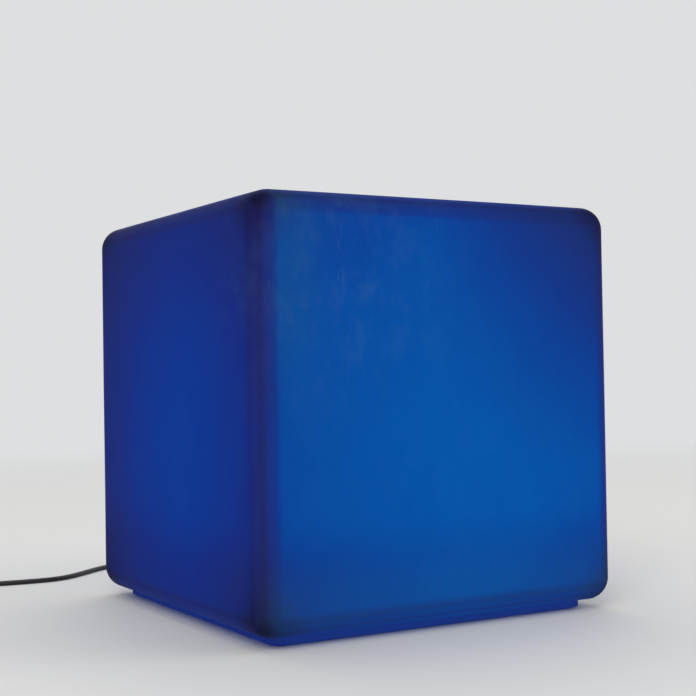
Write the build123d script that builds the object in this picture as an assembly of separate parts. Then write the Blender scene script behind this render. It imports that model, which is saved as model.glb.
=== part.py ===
from build123d import *
import math
import os

# A cube light to sit on or stand outdoors: one hollow moulded shell of translucent polyethylene, a
# cube on an inset plinth. A module with the LEDs is screwed into a well in the underside, and its
# cord leaves through a channel at the back to a plug-in adaptor. Millimetres, +Z up. The origin is
# on the floor under the middle of the cube, and the cord leaves towards +Y.

# Cube and plinth
SIDE = 400.0
BODY_BOTTOM = 9.0
BODY_TOP = 404.0
EDGE_R = 23.0
WALL = 4.5
PLINTH_SIDE = 349.0
PLINTH_CORNER_R = 12.0
PLINTH_BOTTOM = 1.5
PLINTH_LIP_R = 1.5

# Well, opening and cord channel in the underside
WELL_R = 100.0
WELL_ROOF = 17.0
WELL_FILLET_R = 3.0
OPENING_R = 72.0
CHANNEL_W = 11.0
CHANNEL_ROOF = 11.5

# Feet, and the brass inserts that take the module's screws
FOOT_R = 9.0
FOOT_H = 2.8
FOOT_AT = 154.0
FOOT_GAP = 0.1
FOOT_EDGE = 0.8
FOOT_DISH_R = 6.0
FOOT_DISH_DEPTH = 0.4
FOOT_DISH_SLOPE = 0.6
INSERT_R = 3.5
INSERT_LENGTH = 9.0
INSERT_PCD_R = 84.0
INSERT_BORE_R = 2.05
INSERT_GROOVES = (2.2, 5.2)
INSERT_GROOVE_W = 1.2
INSERT_GROOVE_DEPTH = 0.5
BOSS_R = 7.5
BOSS_END = 2.0
FLANGE_SCREWS = 6

# Screws: radius of the shank, radius and height of the head, length. Then the holes for them.
FLANGE_SCREW = (1.95, 4.0, 2.6, 11.5)
LED_SCREW = (1.5, 2.75, 1.9, 10.0)
DOME_SCREW = (1.5, 2.75, 1.9, 8.0)
CLAMP_SCREW = (1.5, 2.75, 1.9, 7.0)
BOARD_SCREW = (1.25, 2.3, 1.6, 6.5)
FLANGE_HOLE_R = 2.25
SEAL_HOLE_R = 2.4
PILOT_R = 1.55
BOARD_PILOT_R = 1.3
BOARD_HOLE_R = 1.5
LED_HOLE_R = 1.7
CLAMP_HOLE_R = 1.7
DOME_HOLE_R = 1.8

# Module: heights of its levels above the floor, and its radii
BELLY_BOTTOM = 3.0
BELLY_FLOOR = 5.0
BELLY_R = 56.0
BELLY_EDGE = 1.5
TRAY_WALL = 2.5
FLANGE_R = 92.0
FLANGE_TOP = 16.0
FLANGE_T = 2.8
CUP_R = 69.0
LAND_TOP = 28.0
LAND_R = 58.5
LAND_T = 2.0
SPREADER_BOTTOM = 22.0
SPREADER_T = 2.5
SPREADER_R = 56.0
SPREADER_EDGE = 0.4
LED_BOARD_T = 1.6
LED_BOARD_R = 54.0
DOME_SEAL_T = 1.0
DOME_FLANGE_T = 2.2
DOME_TOP = 66.0
DOME_R = 57.0
DOME_WALL = 2.0
LED_POSTS = 3
LED_POSTS_TURN = 30.0
LED_POSTS_PCD_R = 46.0
LED_POST_R = 4.5
LED_PILOT_DEPTH = 12.0
DOME_SCREWS = 6
DOME_SCREW_PCD_R = 62.5
DOME_BOSS_R = 4.6
RIB_ANGLES = (30, 150, 210, 270, 330)
RIB_W = 2.0
RIB_H = 4.0
RIB_OVERLAP = 0.5
SCREW_HEAD_ROOM = 7.0
SEAL_INSET = 1.5
SEAL_INNER_GAP = 3.0

# LEDs: squares with a round lens pocket, in two rings of (count, radius, first angle)
LED_SIDE = 5.0
LED_H = 1.6
LENS_R = 1.9
LENS_DEPTH = 0.3
LED_RINGS = ((12, 36.0, 0.0), (6, 17.0, 30.0))

# Control board
BOARD_BOTTOM = 12.0
BOARD_T = 1.6
BOARD_X = 64.0
BOARD_Y = 50.0
BOARD_AT_Y = -12.0
BOARD_CORNER_R = 2.0
BOARD_HOLE_INSET = 4.0
BOARD_TOP = BOARD_BOTTOM + BOARD_T
STANDOFF_R = 3.0

# On the control board: sizes, and heights above its top face
CHIP_L = 10.0
CHIP_W = 4.0
CHIP_T = 1.6
CHIP_LIFT = 0.15
CHIP_AT_Y = -14.0
CHIP_LEGS_A_SIDE = 8
LEG_PITCH = 1.27
LEG_W = 0.4
LEG_L = 1.1
LEG_H = 0.9
LEG_OUT = 2.5
TRANSISTOR_W = 6.5
TRANSISTOR_L = 6.0
TRANSISTOR_TOP = 2.3
TRANSISTOR_LIFT = 0.1
TRANSISTOR_SPACING = 11.0
TRANSISTOR_AT_Y = -30.0
TAB_W = 5.3
TAB_L = 1.6
TAB_AT_Y = 3.6
LEAD_W = 0.9
LEAD_L = 2.6
LEAD_X = 2.3
LEAD_AT_Y = -4.2
LEAD_T = 0.6
CAN_R = 4.0
CAN_H = 7.6
CAN_EDGE_R = 0.6
CAN_AT = (21.0, -3.0)
CHOKE_SIDE = 8.0
CHOKE_CORNER_R = 2.0
CHOKE_H = 4.5
CHOKE_FLANGE_T = 0.9
CHOKE_WINDING_R = 3.1
CHOKE_AT = (21.0, -19.0)
TERMINAL_W = 10.4
TERMINAL_L = 8.0
TERMINAL_H = 8.0
TERMINAL_AT_Y = 8.0
TERMINAL_X = 2.54
TERMINAL_WELL_R = 1.95
TERMINAL_WELL_BOTTOM = 4.6
TERMINAL_SCREW_R = 1.8
TERMINAL_SCREW_H = 2.4
TERMINAL_SLOT_W = 0.6
TERMINAL_SLOT_DEPTH = 0.9
CORE_HOLE_R = 1.25
CORE_HOLE_DEPTH = 2.5
CORE_HEIGHT = 4.0
CONNECTOR_W = 6.0
CONNECTOR_L = 12.4
CONNECTOR_H = 6.6
CONNECTOR_X = -24.0
PORT_W = 2.0
PORT_L = 1.6
PORT_BOTTOM = 2.4
WIRES = 4
WIRE_R = 0.6
WIRE_PITCH = 2.2
WIRE_HEIGHT = 3.4
WIRE_ARCH = 4.0
WIRE_PAD_X = -43.0
WIRE_BENDS = (3.0, 2.0, 2.0)
WIRE_SLOT_X = -48.0
WIRE_SLOT_W = 4.0
WIRE_SLOT_L = 11.0
WIRE_SLOT_CORNER_R = 1.5

# Power button: its rest place and its travel, which is the switch's
BUTTON_AT_Y = -22.0
BUTTON_R = 8.0
BUTTON_TRAVEL = 1.3
BUTTON_FACE = 2.6
BUTTON_FLANGE_R = 9.7
BUTTON_FLANGE_TOP = 6.1
BUTTON_GAP = 0.3
BUTTON_DISH_DEPTH = 0.5
BUTTON_DISH_R = 5.5
BUTTON_GROOVE_R = 6.6
BUTTON_GROOVE = (3.3, 4.7)
BUTTON_STEM_R = 2.4
BUTTON_STEM_TOP = 7.2
BUTTON_RING_H = 0.5
ORING_R = 7.35
ORING_WIRE_R = 0.7
GUIDE_GAP = 0.5
GUIDE_WALL = 1.4
GUIDE_TOP = 8.0
SWITCH_SIDE = 6.0
SWITCH_H = 3.5
PLUNGER_R = 1.75
PLUNGER_GAP = 0.25
SPRING_R = 5.4
SPRING_WIRE = 0.7
SPRING_TURNS = 4
SPRING_GAP = 0.05

# Cord: its axis inside the module, and its route over the floor until it reaches the coil
CORD_D = 5.5
CORD_AXIS = 8.0
CORD_END_Y = 31.0
RELIEF_LENGTH = 36.0
RELIEF_ROOT_R = 4.7
RELIEF_TIP_R = 3.7
RELIEF_HOLE_R = 3.65
RELIEF_NECK_R = 3.6
RELIEF_COLLAR_R = 5.0
RELIEF_COLLAR_T = 2.3
RELIEF_SEAT_GAP = 0.3
RELIEF_FLAT_L = 6.0
RELIEF_HEAD_T = 5.0
RELIEF_GROOVES = 5
RELIEF_FIRST_GROOVE = 7.0
RELIEF_GROOVE_SPACING = 0.145  # of the relief's length
RELIEF_GROOVE_DEPTH = 0.9
RELIEF_TIP_Y = BELLY_R + RELIEF_LENGTH
FLOOR_AXIS = 2.85
COIL_AXIS = 3.6
CLAMP_Y = 40.0
CLAMP_POST_X = 8.5
CLAMP_POST_R = 3.2
CLAMP_LIFT = 0.8
CLAMP_BAR_W = 24.0
CLAMP_BAR_L = 7.6
CLAMP_BAR_T = 4.0
CLAMP_BAR_CORNER_R = 3.0
CORE_R = 1.1
CORE_X = 1.3
CORE_RISE_Y = 19.5
CORE_BEND_R = 3.4

# Coil of the put-away length: the spiral comes in on the lower layer and goes out on the upper
COIL_X = -352.0
COIL_Y = 363.0
COIL_MIN_R = 21.5
COIL_PITCH = 5.95
QUARTERS_IN = 12
QUARTERS_OUT = 13
COIL_START_R = COIL_MIN_R + COIL_PITCH * QUARTERS_IN / 4
COIL_END_R = COIL_MIN_R + COIL_PITCH * QUARTERS_OUT / 4
COIL_STRAIGHT = CORD_D
TIE_W = 10.0
TIE_T = 0.8
TIE_CORNER_R = 3.0
TIE_INNER_GAP = 1.6
TIE_OUTER_GAP = 0.4
TIE_UNDER_GAP = 0.02
TIE_OVER_GAP = 0.1
ROUTE = [
    (0.0, RELIEF_TIP_Y, CORD_AXIS),
    (0.0, 131.0, CORD_AXIS),
    (0.6, 187.0, 5.4),
    (-1.0, 243.0, FLOOR_AXIS),
    (-7.0, 296.0, FLOOR_AXIS),
    (-25.0, 343.0, FLOOR_AXIS),
    (-57.0, 378.0, FLOOR_AXIS),
    (-99.0, 388.0, FLOOR_AXIS),
    (-138.0, 371.0, FLOOR_AXIS),
    (-171.0, 341.0, FLOOR_AXIS),
    (-205.0, 316.0, FLOOR_AXIS),
    (-243.0, 316.5, FLOOR_AXIS),
    (-279.0, 322.5, FLOOR_AXIS),
    (-313.0, COIL_Y - COIL_START_R, COIL_AXIS),
    (COIL_X + COIL_STRAIGHT, COIL_Y - COIL_START_R, COIL_AXIS),
]

# Adaptor: it lies on its back beyond the coil, in line with the coil's upper end
ADAPTOR_X = COIL_X - COIL_END_R
ADAPTOR_W = 46.0
ADAPTOR_L = 78.0
ADAPTOR_H = 30.0
ADAPTOR_SPLIT = 24.0
ADAPTOR_WALL = 2.2
ADAPTOR_CORNER_R = 5.0
ADAPTOR_EDGE_R = 2.0
ADAPTOR_RELIEF_ROOT_R = 5.0
CORD_END_INSIDE = 6.0
ADAPTOR_RELIEF_LENGTH = 34.0
ADAPTOR_RELIEF_TIP_Y = COIL_Y + 7.0
ADAPTOR_FACE_Y = ADAPTOR_RELIEF_TIP_Y + ADAPTOR_RELIEF_LENGTH
ADAPTOR_MID_Y = ADAPTOR_FACE_Y + ADAPTOR_L / 2
ADAPTOR_AXIS = COIL_AXIS + COIL_PITCH
PIN_SPACING = 18.6
PIN_R = 2.0
PIN_LENGTH = 19.0
PIN_SLEEVE_R = 1.7
PIN_SLEEVE_LENGTH = 10.0
PIN_CORE_R = 1.3
PIN_BOSS_H = 2.0
PIN_AT_Y = ADAPTOR_FACE_Y + ADAPTOR_L - 20.0
PIN_FOOT = 1.0
PIN_TIP = ((0.0, 1.2), (0.5, 0.3), (1.2, 0.0))  # the rounded tip: how far in, and how far below
PIN_BOSS_W = 35.0
PIN_BOSS_L = 13.6
PIN_BOSS_CORNER_R = 6.0
PIN_BOSS_ROOT = 3.0
SUPPLY_BOARD_W = 38.0
SUPPLY_BOARD_L = 62.0
SUPPLY_BOARD_CORNER_R = 1.5
SUPPLY_BOARD_BOTTOM = 6.0
SUPPLY_BOARD_TOP = 7.6
SUPPLY_BOARD_SHIFT_Y = 4.0
CORE_HALF_W = 20.0
CORE_HALF_L = 5.0
CORE_HALF_Y = 9.0
CORE_HALF_TOP = 21.0
BOBBIN_W = 16.0
BOBBIN_L = 13.0
BOBBIN_BOTTOM = 8.6
BOBBIN_TOP = 20.0
TRANSFORMER_SHIFT_Y = -2.0
SUPPLY_CAN_EDGE_R = 0.8
SUPPLY_CAN_Y = 22.0
SUPPLY_CANS = ((8.0, 5.0, 21.6), (-8.0, 4.0, 18.6))  # place across, radius, top

CLEAR = 1.0  # how far a cutting shape runs past the face that it cuts
FIT = 0.02  # gap between two pieces that are pressed or moulded together
SLIP = 0.05  # gap between two pieces that only just don't touch


def cylinder(radius, low, high, x=0.0, y=0.0):
    """An upright cylinder between two heights."""
    return Pos(x, y, low) * Cylinder(radius, high - low, align=(Align.CENTER, Align.CENTER, Align.MIN))


def block(size_x, size_y, low, high, x=0.0, y=0.0):
    """An upright block between two heights."""
    return Pos(x, y, low) * Box(size_x, size_y, high - low, align=(Align.CENTER, Align.CENTER, Align.MIN))


def rounded_block(size_x, size_y, corner, low, high, x=0.0, y=0.0):
    """An upright block with rounded vertical edges."""
    return Pos(x, y, low) * extrude(RectangleRounded(size_x, size_y, corner), high - low)


def ring(outer, inner, low, high):
    """A flat ring about the Z axis."""
    return cylinder(outer, low, high) - cylinder(inner, low - CLEAR, high + CLEAR)


def turned(*outline):
    """A solid turned about the Z axis from its half outline in radius and height."""
    return revolve(make_face(Plane.XZ * Polyline(*outline, close=True)), Axis.Z)


def around(count, radius, first=0.0):
    """Evenly spaced places on a circle, as x and y."""
    angles = [math.radians(first + 360.0 * k / count) for k in range(count)]
    return [(radius * math.cos(a), radius * math.sin(a)) for a in angles]


def drilled(solid, places, radius, low, high):
    """A solid with upright holes."""
    for x, y in places:
        solid -= cylinder(radius, low, high, x, y)
    return solid


def pan_screw(shank_r, head_r, head_h, length):
    """A pan head screw with a cross recess: the head stands on z = 0 and the shank hangs below."""
    head = cylinder(head_r, 0, head_h)
    recess_bottom = 0.45 * head_h
    head = fillet(head.edges().sort_by(Axis.Z)[-1], recess_bottom)
    for turn in (0, 90):
        head -= Rot(0, 0, turn) * block(1.2 * head_r, 0.3 * head_r, recess_bottom, head_h + CLEAR)
    shank = cylinder(shank_r, -length, 0)
    shank = chamfer(shank.edges().sort_by(Axis.Z)[0], 0.35 * shank_r)
    return head + shank


def biarc(start, start_direction, end, end_direction):
    """Two arcs that leave the start and reach the end in the given directions."""
    chord = end - start
    both = start_direction + end_direction
    spread = 2 * (1 - start_direction.dot(end_direction))
    along = chord.dot(both)
    reach = (math.sqrt(along**2 + spread * chord.dot(chord)) - along) / spread
    first = start + start_direction * reach
    last = end - end_direction * reach
    middle = (first + last) * 0.5
    return [
        TangentArc(start, middle, tangent=start_direction),
        TangentArc(middle, end, tangent=last - first),
    ]


def wound_path(points, directions):
    """One smooth path of biarcs through points with known directions."""
    edges = []
    for k in range(len(points) - 1):
        edges += biarc(points[k], directions[k], points[k + 1], directions[k + 1])
    return edges


def swept(edges, diameter):
    """A round tube along joined edges."""
    path = Wire(edges)
    start = Plane(origin=path @ 0, z_dir=path % 0)
    tube = sweep(start * Circle(diameter / 2), path=path)
    wanted = math.pi * diameter**2 / 4 * path.length
    print(f"tube {path.length:.1f} long, volume {tube.volume / wanted:.4f} of its section times its length")
    return tube


def least_gap(edges, diameter, apart):
    """The least gap of a wound tube to itself, between places over apart from each other along it."""
    path = Wire(edges)
    count = 500
    step = path.length / count
    places = [path @ (k / count) for k in range(count + 1)]
    skip = math.ceil(apart / step)
    pairs = [(a, b) for a in range(count + 1) for b in range(a + skip, count + 1)]
    return min((places[a] - places[b]).length for a, b in pairs) - diameter


def cube_shell():
    """Cube and plinth in one moulding, open at the bottom where the module goes in."""
    body = block(SIDE, SIDE, BODY_BOTTOM, BODY_TOP)
    body = fillet(body.edges(), EDGE_R)
    plinth = rounded_block(PLINTH_SIDE, PLINTH_SIDE, PLINTH_CORNER_R, PLINTH_BOTTOM, BODY_BOTTOM + WALL)
    plinth = fillet(plinth.faces().sort_by(Axis.Z)[0].edges(), PLINTH_LIP_R)

    inside = block(SIDE - 2 * WALL, SIDE - 2 * WALL, BODY_BOTTOM + WALL, BODY_TOP - WALL)
    inside = fillet(inside.edges(), EDGE_R - WALL)
    low_side = PLINTH_SIDE - 2 * WALL
    low_top = BODY_BOTTOM + (BODY_TOP - BODY_BOTTOM) / 4
    inside += rounded_block(low_side, low_side, PLINTH_CORNER_R - WALL, PLINTH_BOTTOM + WALL, low_top)
    inside -= well(WELL_R + WALL, WELL_ROOF + WALL)
    inside -= channel(CHANNEL_W + 2 * WALL, CHANNEL_ROOF + WALL, WELL_R - 2 * WALL, SIDE / 2 - 2 * WALL)
    for x, y in around(FLANGE_SCREWS, INSERT_PCD_R):
        inside -= cylinder(BOSS_R, WELL_ROOF, WELL_ROOF + INSERT_LENGTH + BOSS_END, x, y)

    shell = body + plinth - inside
    shell -= well(WELL_R, WELL_ROOF)
    shell -= channel(CHANNEL_W, CHANNEL_ROOF, WELL_R - WALL, SIDE / 2 + CLEAR)
    shell -= cylinder(OPENING_R, WELL_ROOF - CLEAR, WELL_ROOF + WALL + CLEAR)
    insert_places = around(FLANGE_SCREWS, INSERT_PCD_R)
    shell = drilled(shell, insert_places, INSERT_R, WELL_ROOF - CLEAR, WELL_ROOF + INSERT_LENGTH)
    return drilled(shell, foot_places(), FOOT_R + FOOT_GAP, PLINTH_BOTTOM - CLEAR, FOOT_H)


def well(radius, roof):
    """The round well that the module sits in, up from below the floor."""
    hole = cylinder(radius, -CLEAR, roof)
    return fillet(hole.edges().sort_by(Axis.Z)[-1], WELL_FILLET_R)


def channel(width, roof, near, far):
    """The straight channel for the cord, from the well to the back."""
    slot = block(width, far - near, -CLEAR, roof, 0, (near + far) / 2)
    along = slot.edges().filter_by(Axis.Y).sort_by(Axis.Z)[-2:]
    return fillet(along, WELL_FILLET_R)


def foot_places():
    """The four feet, near the plinth's corners."""
    return [(x, y) for x in (-FOOT_AT, FOOT_AT) for y in (-FOOT_AT, FOOT_AT)]


def rubber_feet():
    """Four dished pads, each in a shallow pocket of the plinth."""
    pad = turned(
        (0, FOOT_DISH_DEPTH),
        (FOOT_DISH_R, FOOT_DISH_DEPTH),
        (FOOT_DISH_R + FOOT_DISH_SLOPE, 0),
        (FOOT_R - FOOT_EDGE, 0),
        (FOOT_R, FOOT_EDGE),
        (FOOT_R, FOOT_H),
        (0, FOOT_H),
    )
    return [Pos(x, y, 0) * pad for x, y in foot_places()]


def threaded_inserts():
    """Six brass inserts with two grooves, moulded into the bosses over the well."""
    insert = ring(INSERT_R - FIT, INSERT_BORE_R, WELL_ROOF, WELL_ROOF + INSERT_LENGTH)
    for start in INSERT_GROOVES:
        low = WELL_ROOF + start
        insert -= ring(INSERT_R + CLEAR, INSERT_R - INSERT_GROOVE_DEPTH, low, low + INSERT_GROOVE_W)
    return [Pos(x, y, 0) * insert for x, y in around(FLANGE_SCREWS, INSERT_PCD_R)]


def module_base():
    """The module's tray: belly, flange, cup and land in one moulding, with its posts."""
    flange_bottom = FLANGE_TOP - FLANGE_T
    land_bottom = LAND_TOP - LAND_T
    tray = turned(
        (0, BELLY_BOTTOM),
        (BELLY_R - BELLY_EDGE, BELLY_BOTTOM),
        (BELLY_R, BELLY_BOTTOM + BELLY_EDGE),
        (BELLY_R, flange_bottom),
        (FLANGE_R, flange_bottom),
        (FLANGE_R, FLANGE_TOP),
        (CUP_R, FLANGE_TOP),
        (CUP_R, LAND_TOP),
        (LAND_R, LAND_TOP),
        (LAND_R, land_bottom),
        (CUP_R - TRAY_WALL, land_bottom),
        (CUP_R - TRAY_WALL, FLANGE_TOP),
        (BELLY_R - TRAY_WALL, FLANGE_TOP),
        (BELLY_R - TRAY_WALL, BELLY_FLOOR),
        (0, BELLY_FLOOR),
    )
    # ribs under the flange, none of them where the cord comes in
    rib_length = INSERT_PCD_R - BELLY_R - SCREW_HEAD_ROOM
    rib_x = BELLY_R + rib_length / 2 - RIB_OVERLAP
    for angle in RIB_ANGLES:
        tray += Rot(0, 0, angle) * block(rib_length, RIB_W, flange_bottom - RIB_H, flange_bottom, rib_x, 0)
    for x, y in led_posts():
        tray += cylinder(LED_POST_R, BELLY_FLOOR, SPREADER_BOTTOM, x, y)
    for x, y in board_holes():
        tray += cylinder(STANDOFF_R, BELLY_FLOOR, BOARD_BOTTOM, x, y)
    for x, y in clamp_places():
        tray += cylinder(CLAMP_POST_R, BELLY_FLOOR, CORD_AXIS + CLAMP_LIFT, x, y)
    for x, y in around(DOME_SCREWS, DOME_SCREW_PCD_R):
        tray += cylinder(DOME_BOSS_R, FLANGE_TOP + 2, LAND_TOP - 1, x, y)
    # the collar that guides the button, and the button's hole
    guide_r = BUTTON_FLANGE_R + GUIDE_GAP
    tray += Pos(0, BUTTON_AT_Y, 0) * ring(guide_r + GUIDE_WALL, guide_r, BELLY_FLOOR, GUIDE_TOP)
    tray -= cylinder(BUTTON_R + BUTTON_GAP, BELLY_BOTTOM - CLEAR, BELLY_FLOOR + CLEAR, 0, BUTTON_AT_Y)

    tray -= Pos(0, BELLY_R, CORD_AXIS) * Rot(90, 0, 0) * Cylinder(RELIEF_HOLE_R, 4 * TRAY_WALL)
    flange_places = around(FLANGE_SCREWS, INSERT_PCD_R)
    tray = drilled(tray, flange_places, FLANGE_HOLE_R, flange_bottom - CLEAR, FLANGE_TOP + CLEAR)
    tray = drilled(tray, led_posts(), PILOT_R, SPREADER_BOTTOM - LED_PILOT_DEPTH, SPREADER_BOTTOM + CLEAR)
    tray = drilled(tray, board_holes(), BOARD_PILOT_R, BELLY_FLOOR + 1, BOARD_BOTTOM + CLEAR)
    tray = drilled(tray, clamp_places(), PILOT_R, BELLY_FLOOR + 0.5, CORD_AXIS + 2)
    return drilled(tray, around(DOME_SCREWS, DOME_SCREW_PCD_R), PILOT_R, FLANGE_TOP + 3, LAND_TOP + CLEAR)


def led_posts():
    """The posts that the LED board and the disc are screwed to."""
    return around(LED_POSTS, LED_POSTS_PCD_R, LED_POSTS_TURN)


def flange_seal():
    """The flat rubber ring between the tray's flange and the roof of the well."""
    seal = ring(FLANGE_R - SEAL_INSET, OPENING_R + SEAL_INNER_GAP, FLANGE_TOP, WELL_ROOF)
    screw_places = around(FLANGE_SCREWS, INSERT_PCD_R)
    return drilled(seal, screw_places, SEAL_HOLE_R, FLANGE_TOP - CLEAR, WELL_ROOF + CLEAR)


def flange_screws():
    """Six screws, driven from below through the flange into the inserts."""
    screw = Rot(180, 0, 0) * pan_screw(*FLANGE_SCREW)
    height = FLANGE_TOP - FLANGE_T
    return [Pos(x, y, height) * screw for x, y in around(FLANGE_SCREWS, INSERT_PCD_R)]


def wire_slot(low, high):
    """The slot that the LED wires come up through, near the edge of the disc and the board."""
    return rounded_block(WIRE_SLOT_W, WIRE_SLOT_L, WIRE_SLOT_CORNER_R, low, high, WIRE_SLOT_X, BOARD_AT_Y)


def heat_spreader():
    """The aluminium disc that the LED board is screwed down on."""
    top = SPREADER_BOTTOM + SPREADER_T
    disc = cylinder(SPREADER_R, SPREADER_BOTTOM, top)
    disc = chamfer(disc.edges(), SPREADER_EDGE)
    disc = drilled(disc, led_posts(), LED_HOLE_R, SPREADER_BOTTOM - CLEAR, top + CLEAR)
    return disc - wire_slot(SPREADER_BOTTOM - CLEAR, top + CLEAR)


def led_board():
    """The round white board that carries the LEDs."""
    low = SPREADER_BOTTOM + SPREADER_T
    top = low + LED_BOARD_T
    board = cylinder(LED_BOARD_R, low, top)
    board = drilled(board, led_posts(), LED_HOLE_R, low - CLEAR, top + CLEAR)
    return board - wire_slot(low - CLEAR, top + CLEAR)


def leds():
    """Eighteen square LEDs in two rings, each with its round lens pocket."""
    low = SPREADER_BOTTOM + SPREADER_T + LED_BOARD_T
    top = low + LED_H
    led = block(LED_SIDE, LED_SIDE, low, top) - cylinder(LENS_R, top - LENS_DEPTH, top + CLEAR)
    return [Pos(x, y, 0) * led for ring_of_leds in LED_RINGS for x, y in around(*ring_of_leds)]


def led_screws():
    """Three screws through the LED board and the disc into the tray's posts."""
    screw = pan_screw(*LED_SCREW)
    height = SPREADER_BOTTOM + SPREADER_T + LED_BOARD_T
    return [Pos(x, y, height) * screw for x, y in led_posts()]


def diffuser_dome():
    """The milky dome over the LEDs, with a flat flange that the screws hold down."""
    low = LAND_TOP + DOME_SEAL_T
    seat = low + DOME_FLANGE_T
    outer = ThreePointArc(*dome_arc(DOME_R, seat, DOME_TOP))
    inner = ThreePointArc(*dome_arc(DOME_R - DOME_WALL, low, DOME_TOP - DOME_WALL))
    outline = [
        outer,
        Line((DOME_R, seat), (CUP_R, seat)),
        Line((CUP_R, seat), (CUP_R, low)),
        Line((CUP_R, low), (DOME_R - DOME_WALL, low)),
        inner,
        Line((0, DOME_TOP - DOME_WALL), (0, DOME_TOP)),
    ]
    dome = revolve(make_face(Plane.XZ * Wire(outline)), Axis.Z)
    return drilled(dome, around(DOME_SCREWS, DOME_SCREW_PCD_R), DOME_HOLE_R, low - CLEAR, seat + CLEAR)


def dome_arc(radius, low, top):
    """Start, middle and end of the arc from the dome's rim to its crown, as radius and height."""
    rise = top - low
    sphere = (radius**2 + rise**2) / (2 * rise)
    rim_angle = math.asin(radius / sphere)
    half_angle = rim_angle / 2 if rise < radius else (math.pi - rim_angle) / 2
    middle = (sphere * math.sin(half_angle), top - sphere + sphere * math.cos(half_angle))
    return (radius, low), middle, (0, top)


def dome_seal():
    """The flat silicone ring under the dome's flange."""
    top = LAND_TOP + DOME_SEAL_T
    seal = ring(CUP_R - 0.5, LAND_R + 1, LAND_TOP, top)
    return drilled(seal, around(DOME_SCREWS, DOME_SCREW_PCD_R), DOME_HOLE_R, LAND_TOP - CLEAR, top + CLEAR)


def dome_screws():
    """Six screws through the dome's flange into the tray."""
    screw = pan_screw(*DOME_SCREW)
    height = LAND_TOP + DOME_SEAL_T + DOME_FLANGE_T
    return [Pos(x, y, height) * screw for x, y in around(DOME_SCREWS, DOME_SCREW_PCD_R)]


def board_holes():
    """The control board's four corner holes."""
    across = BOARD_X / 2 - BOARD_HOLE_INSET
    along = BOARD_Y / 2 - BOARD_HOLE_INSET
    return [(x, BOARD_AT_Y + y) for x in (-across, across) for y in (-along, along)]


def control_board():
    """The rectangular board that drives the LEDs, on four standoffs in the belly."""
    board = rounded_block(BOARD_X, BOARD_Y, BOARD_CORNER_R, BOARD_BOTTOM, BOARD_TOP, 0, BOARD_AT_Y)
    return drilled(board, board_holes(), BOARD_HOLE_R, BOARD_BOTTOM - CLEAR, BOARD_TOP + CLEAR)


def board_screws():
    """Four small screws that hold the control board."""
    screw = pan_screw(*BOARD_SCREW)
    return [Pos(x, y, BOARD_TOP) * screw for x, y in board_holes()]


def controller_chip():
    """A sixteen-leg chip that stores and mixes the colours."""
    low = BOARD_TOP + CHIP_LIFT
    chip = block(CHIP_L, CHIP_W, low, low + CHIP_T, 0, CHIP_AT_Y)
    for k in range(CHIP_LEGS_A_SIDE):
        x = LEG_PITCH * (k - (CHIP_LEGS_A_SIDE - 1) / 2)
        for y in (CHIP_AT_Y - LEG_OUT, CHIP_AT_Y + LEG_OUT):
            chip += block(LEG_W, LEG_L, BOARD_TOP, BOARD_TOP + LEG_H, x, y)
    return chip


def drive_transistors():
    """Three power transistors, one for each colour, flat on the board."""
    metal_top = BOARD_TOP + LEAD_T
    part = block(TRANSISTOR_W, TRANSISTOR_L, BOARD_TOP + TRANSISTOR_LIFT, BOARD_TOP + TRANSISTOR_TOP)
    part += block(TAB_W, TAB_L, BOARD_TOP, metal_top, 0, TAB_AT_Y)
    for x in (-LEAD_X, LEAD_X):
        part += block(LEAD_W, LEAD_L, BOARD_TOP, metal_top, x, LEAD_AT_Y)
    return [Pos(k * TRANSISTOR_SPACING, TRANSISTOR_AT_Y, 0) * part for k in (-1, 0, 1)]


def filter_capacitor():
    """An upright electrolytic capacitor with a rounded can."""
    can = cylinder(CAN_R, BOARD_TOP, BOARD_TOP + CAN_H, *CAN_AT)
    return fillet(can.edges(), CAN_EDGE_R)


def choke():
    """A square wound choke: a core between two flanges."""
    part = cylinder(CHOKE_WINDING_R, BOARD_TOP, BOARD_TOP + CHOKE_H)
    for low in (BOARD_TOP, BOARD_TOP + CHOKE_H - CHOKE_FLANGE_T):
        part += rounded_block(CHOKE_SIDE, CHOKE_SIDE, CHOKE_CORNER_R, low, low + CHOKE_FLANGE_T)
    return Pos(*CHOKE_AT, 0) * part


def terminal_block():
    """A two-way screw terminal: cores go in from the side, screws stand in wells on top."""
    top = BOARD_TOP + TERMINAL_H
    face = TERMINAL_AT_Y + TERMINAL_L / 2
    body = block(TERMINAL_W, TERMINAL_L, BOARD_TOP, top, 0, TERMINAL_AT_Y)
    for x in (-TERMINAL_X, TERMINAL_X):
        body -= cylinder(TERMINAL_WELL_R, BOARD_TOP + TERMINAL_WELL_BOTTOM, top + CLEAR, x, TERMINAL_AT_Y)
        hole = Rot(90, 0, 0) * Cylinder(CORE_HOLE_R, 2 * CORE_HOLE_DEPTH)
        body -= Pos(x, face, BOARD_TOP + CORE_HEIGHT) * hole
    return body


def terminal_screws():
    """The two slotted screws of the terminal block."""
    low = BOARD_TOP + TERMINAL_WELL_BOTTOM
    top = low + TERMINAL_SCREW_H
    screw = cylinder(TERMINAL_SCREW_R, low, top)
    screw -= block(2 * TERMINAL_SCREW_R + CLEAR, TERMINAL_SLOT_W, top - TERMINAL_SLOT_DEPTH, top + CLEAR)
    return [Pos(x, TERMINAL_AT_Y, 0) * screw for x in (-TERMINAL_X, TERMINAL_X)]


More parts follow.
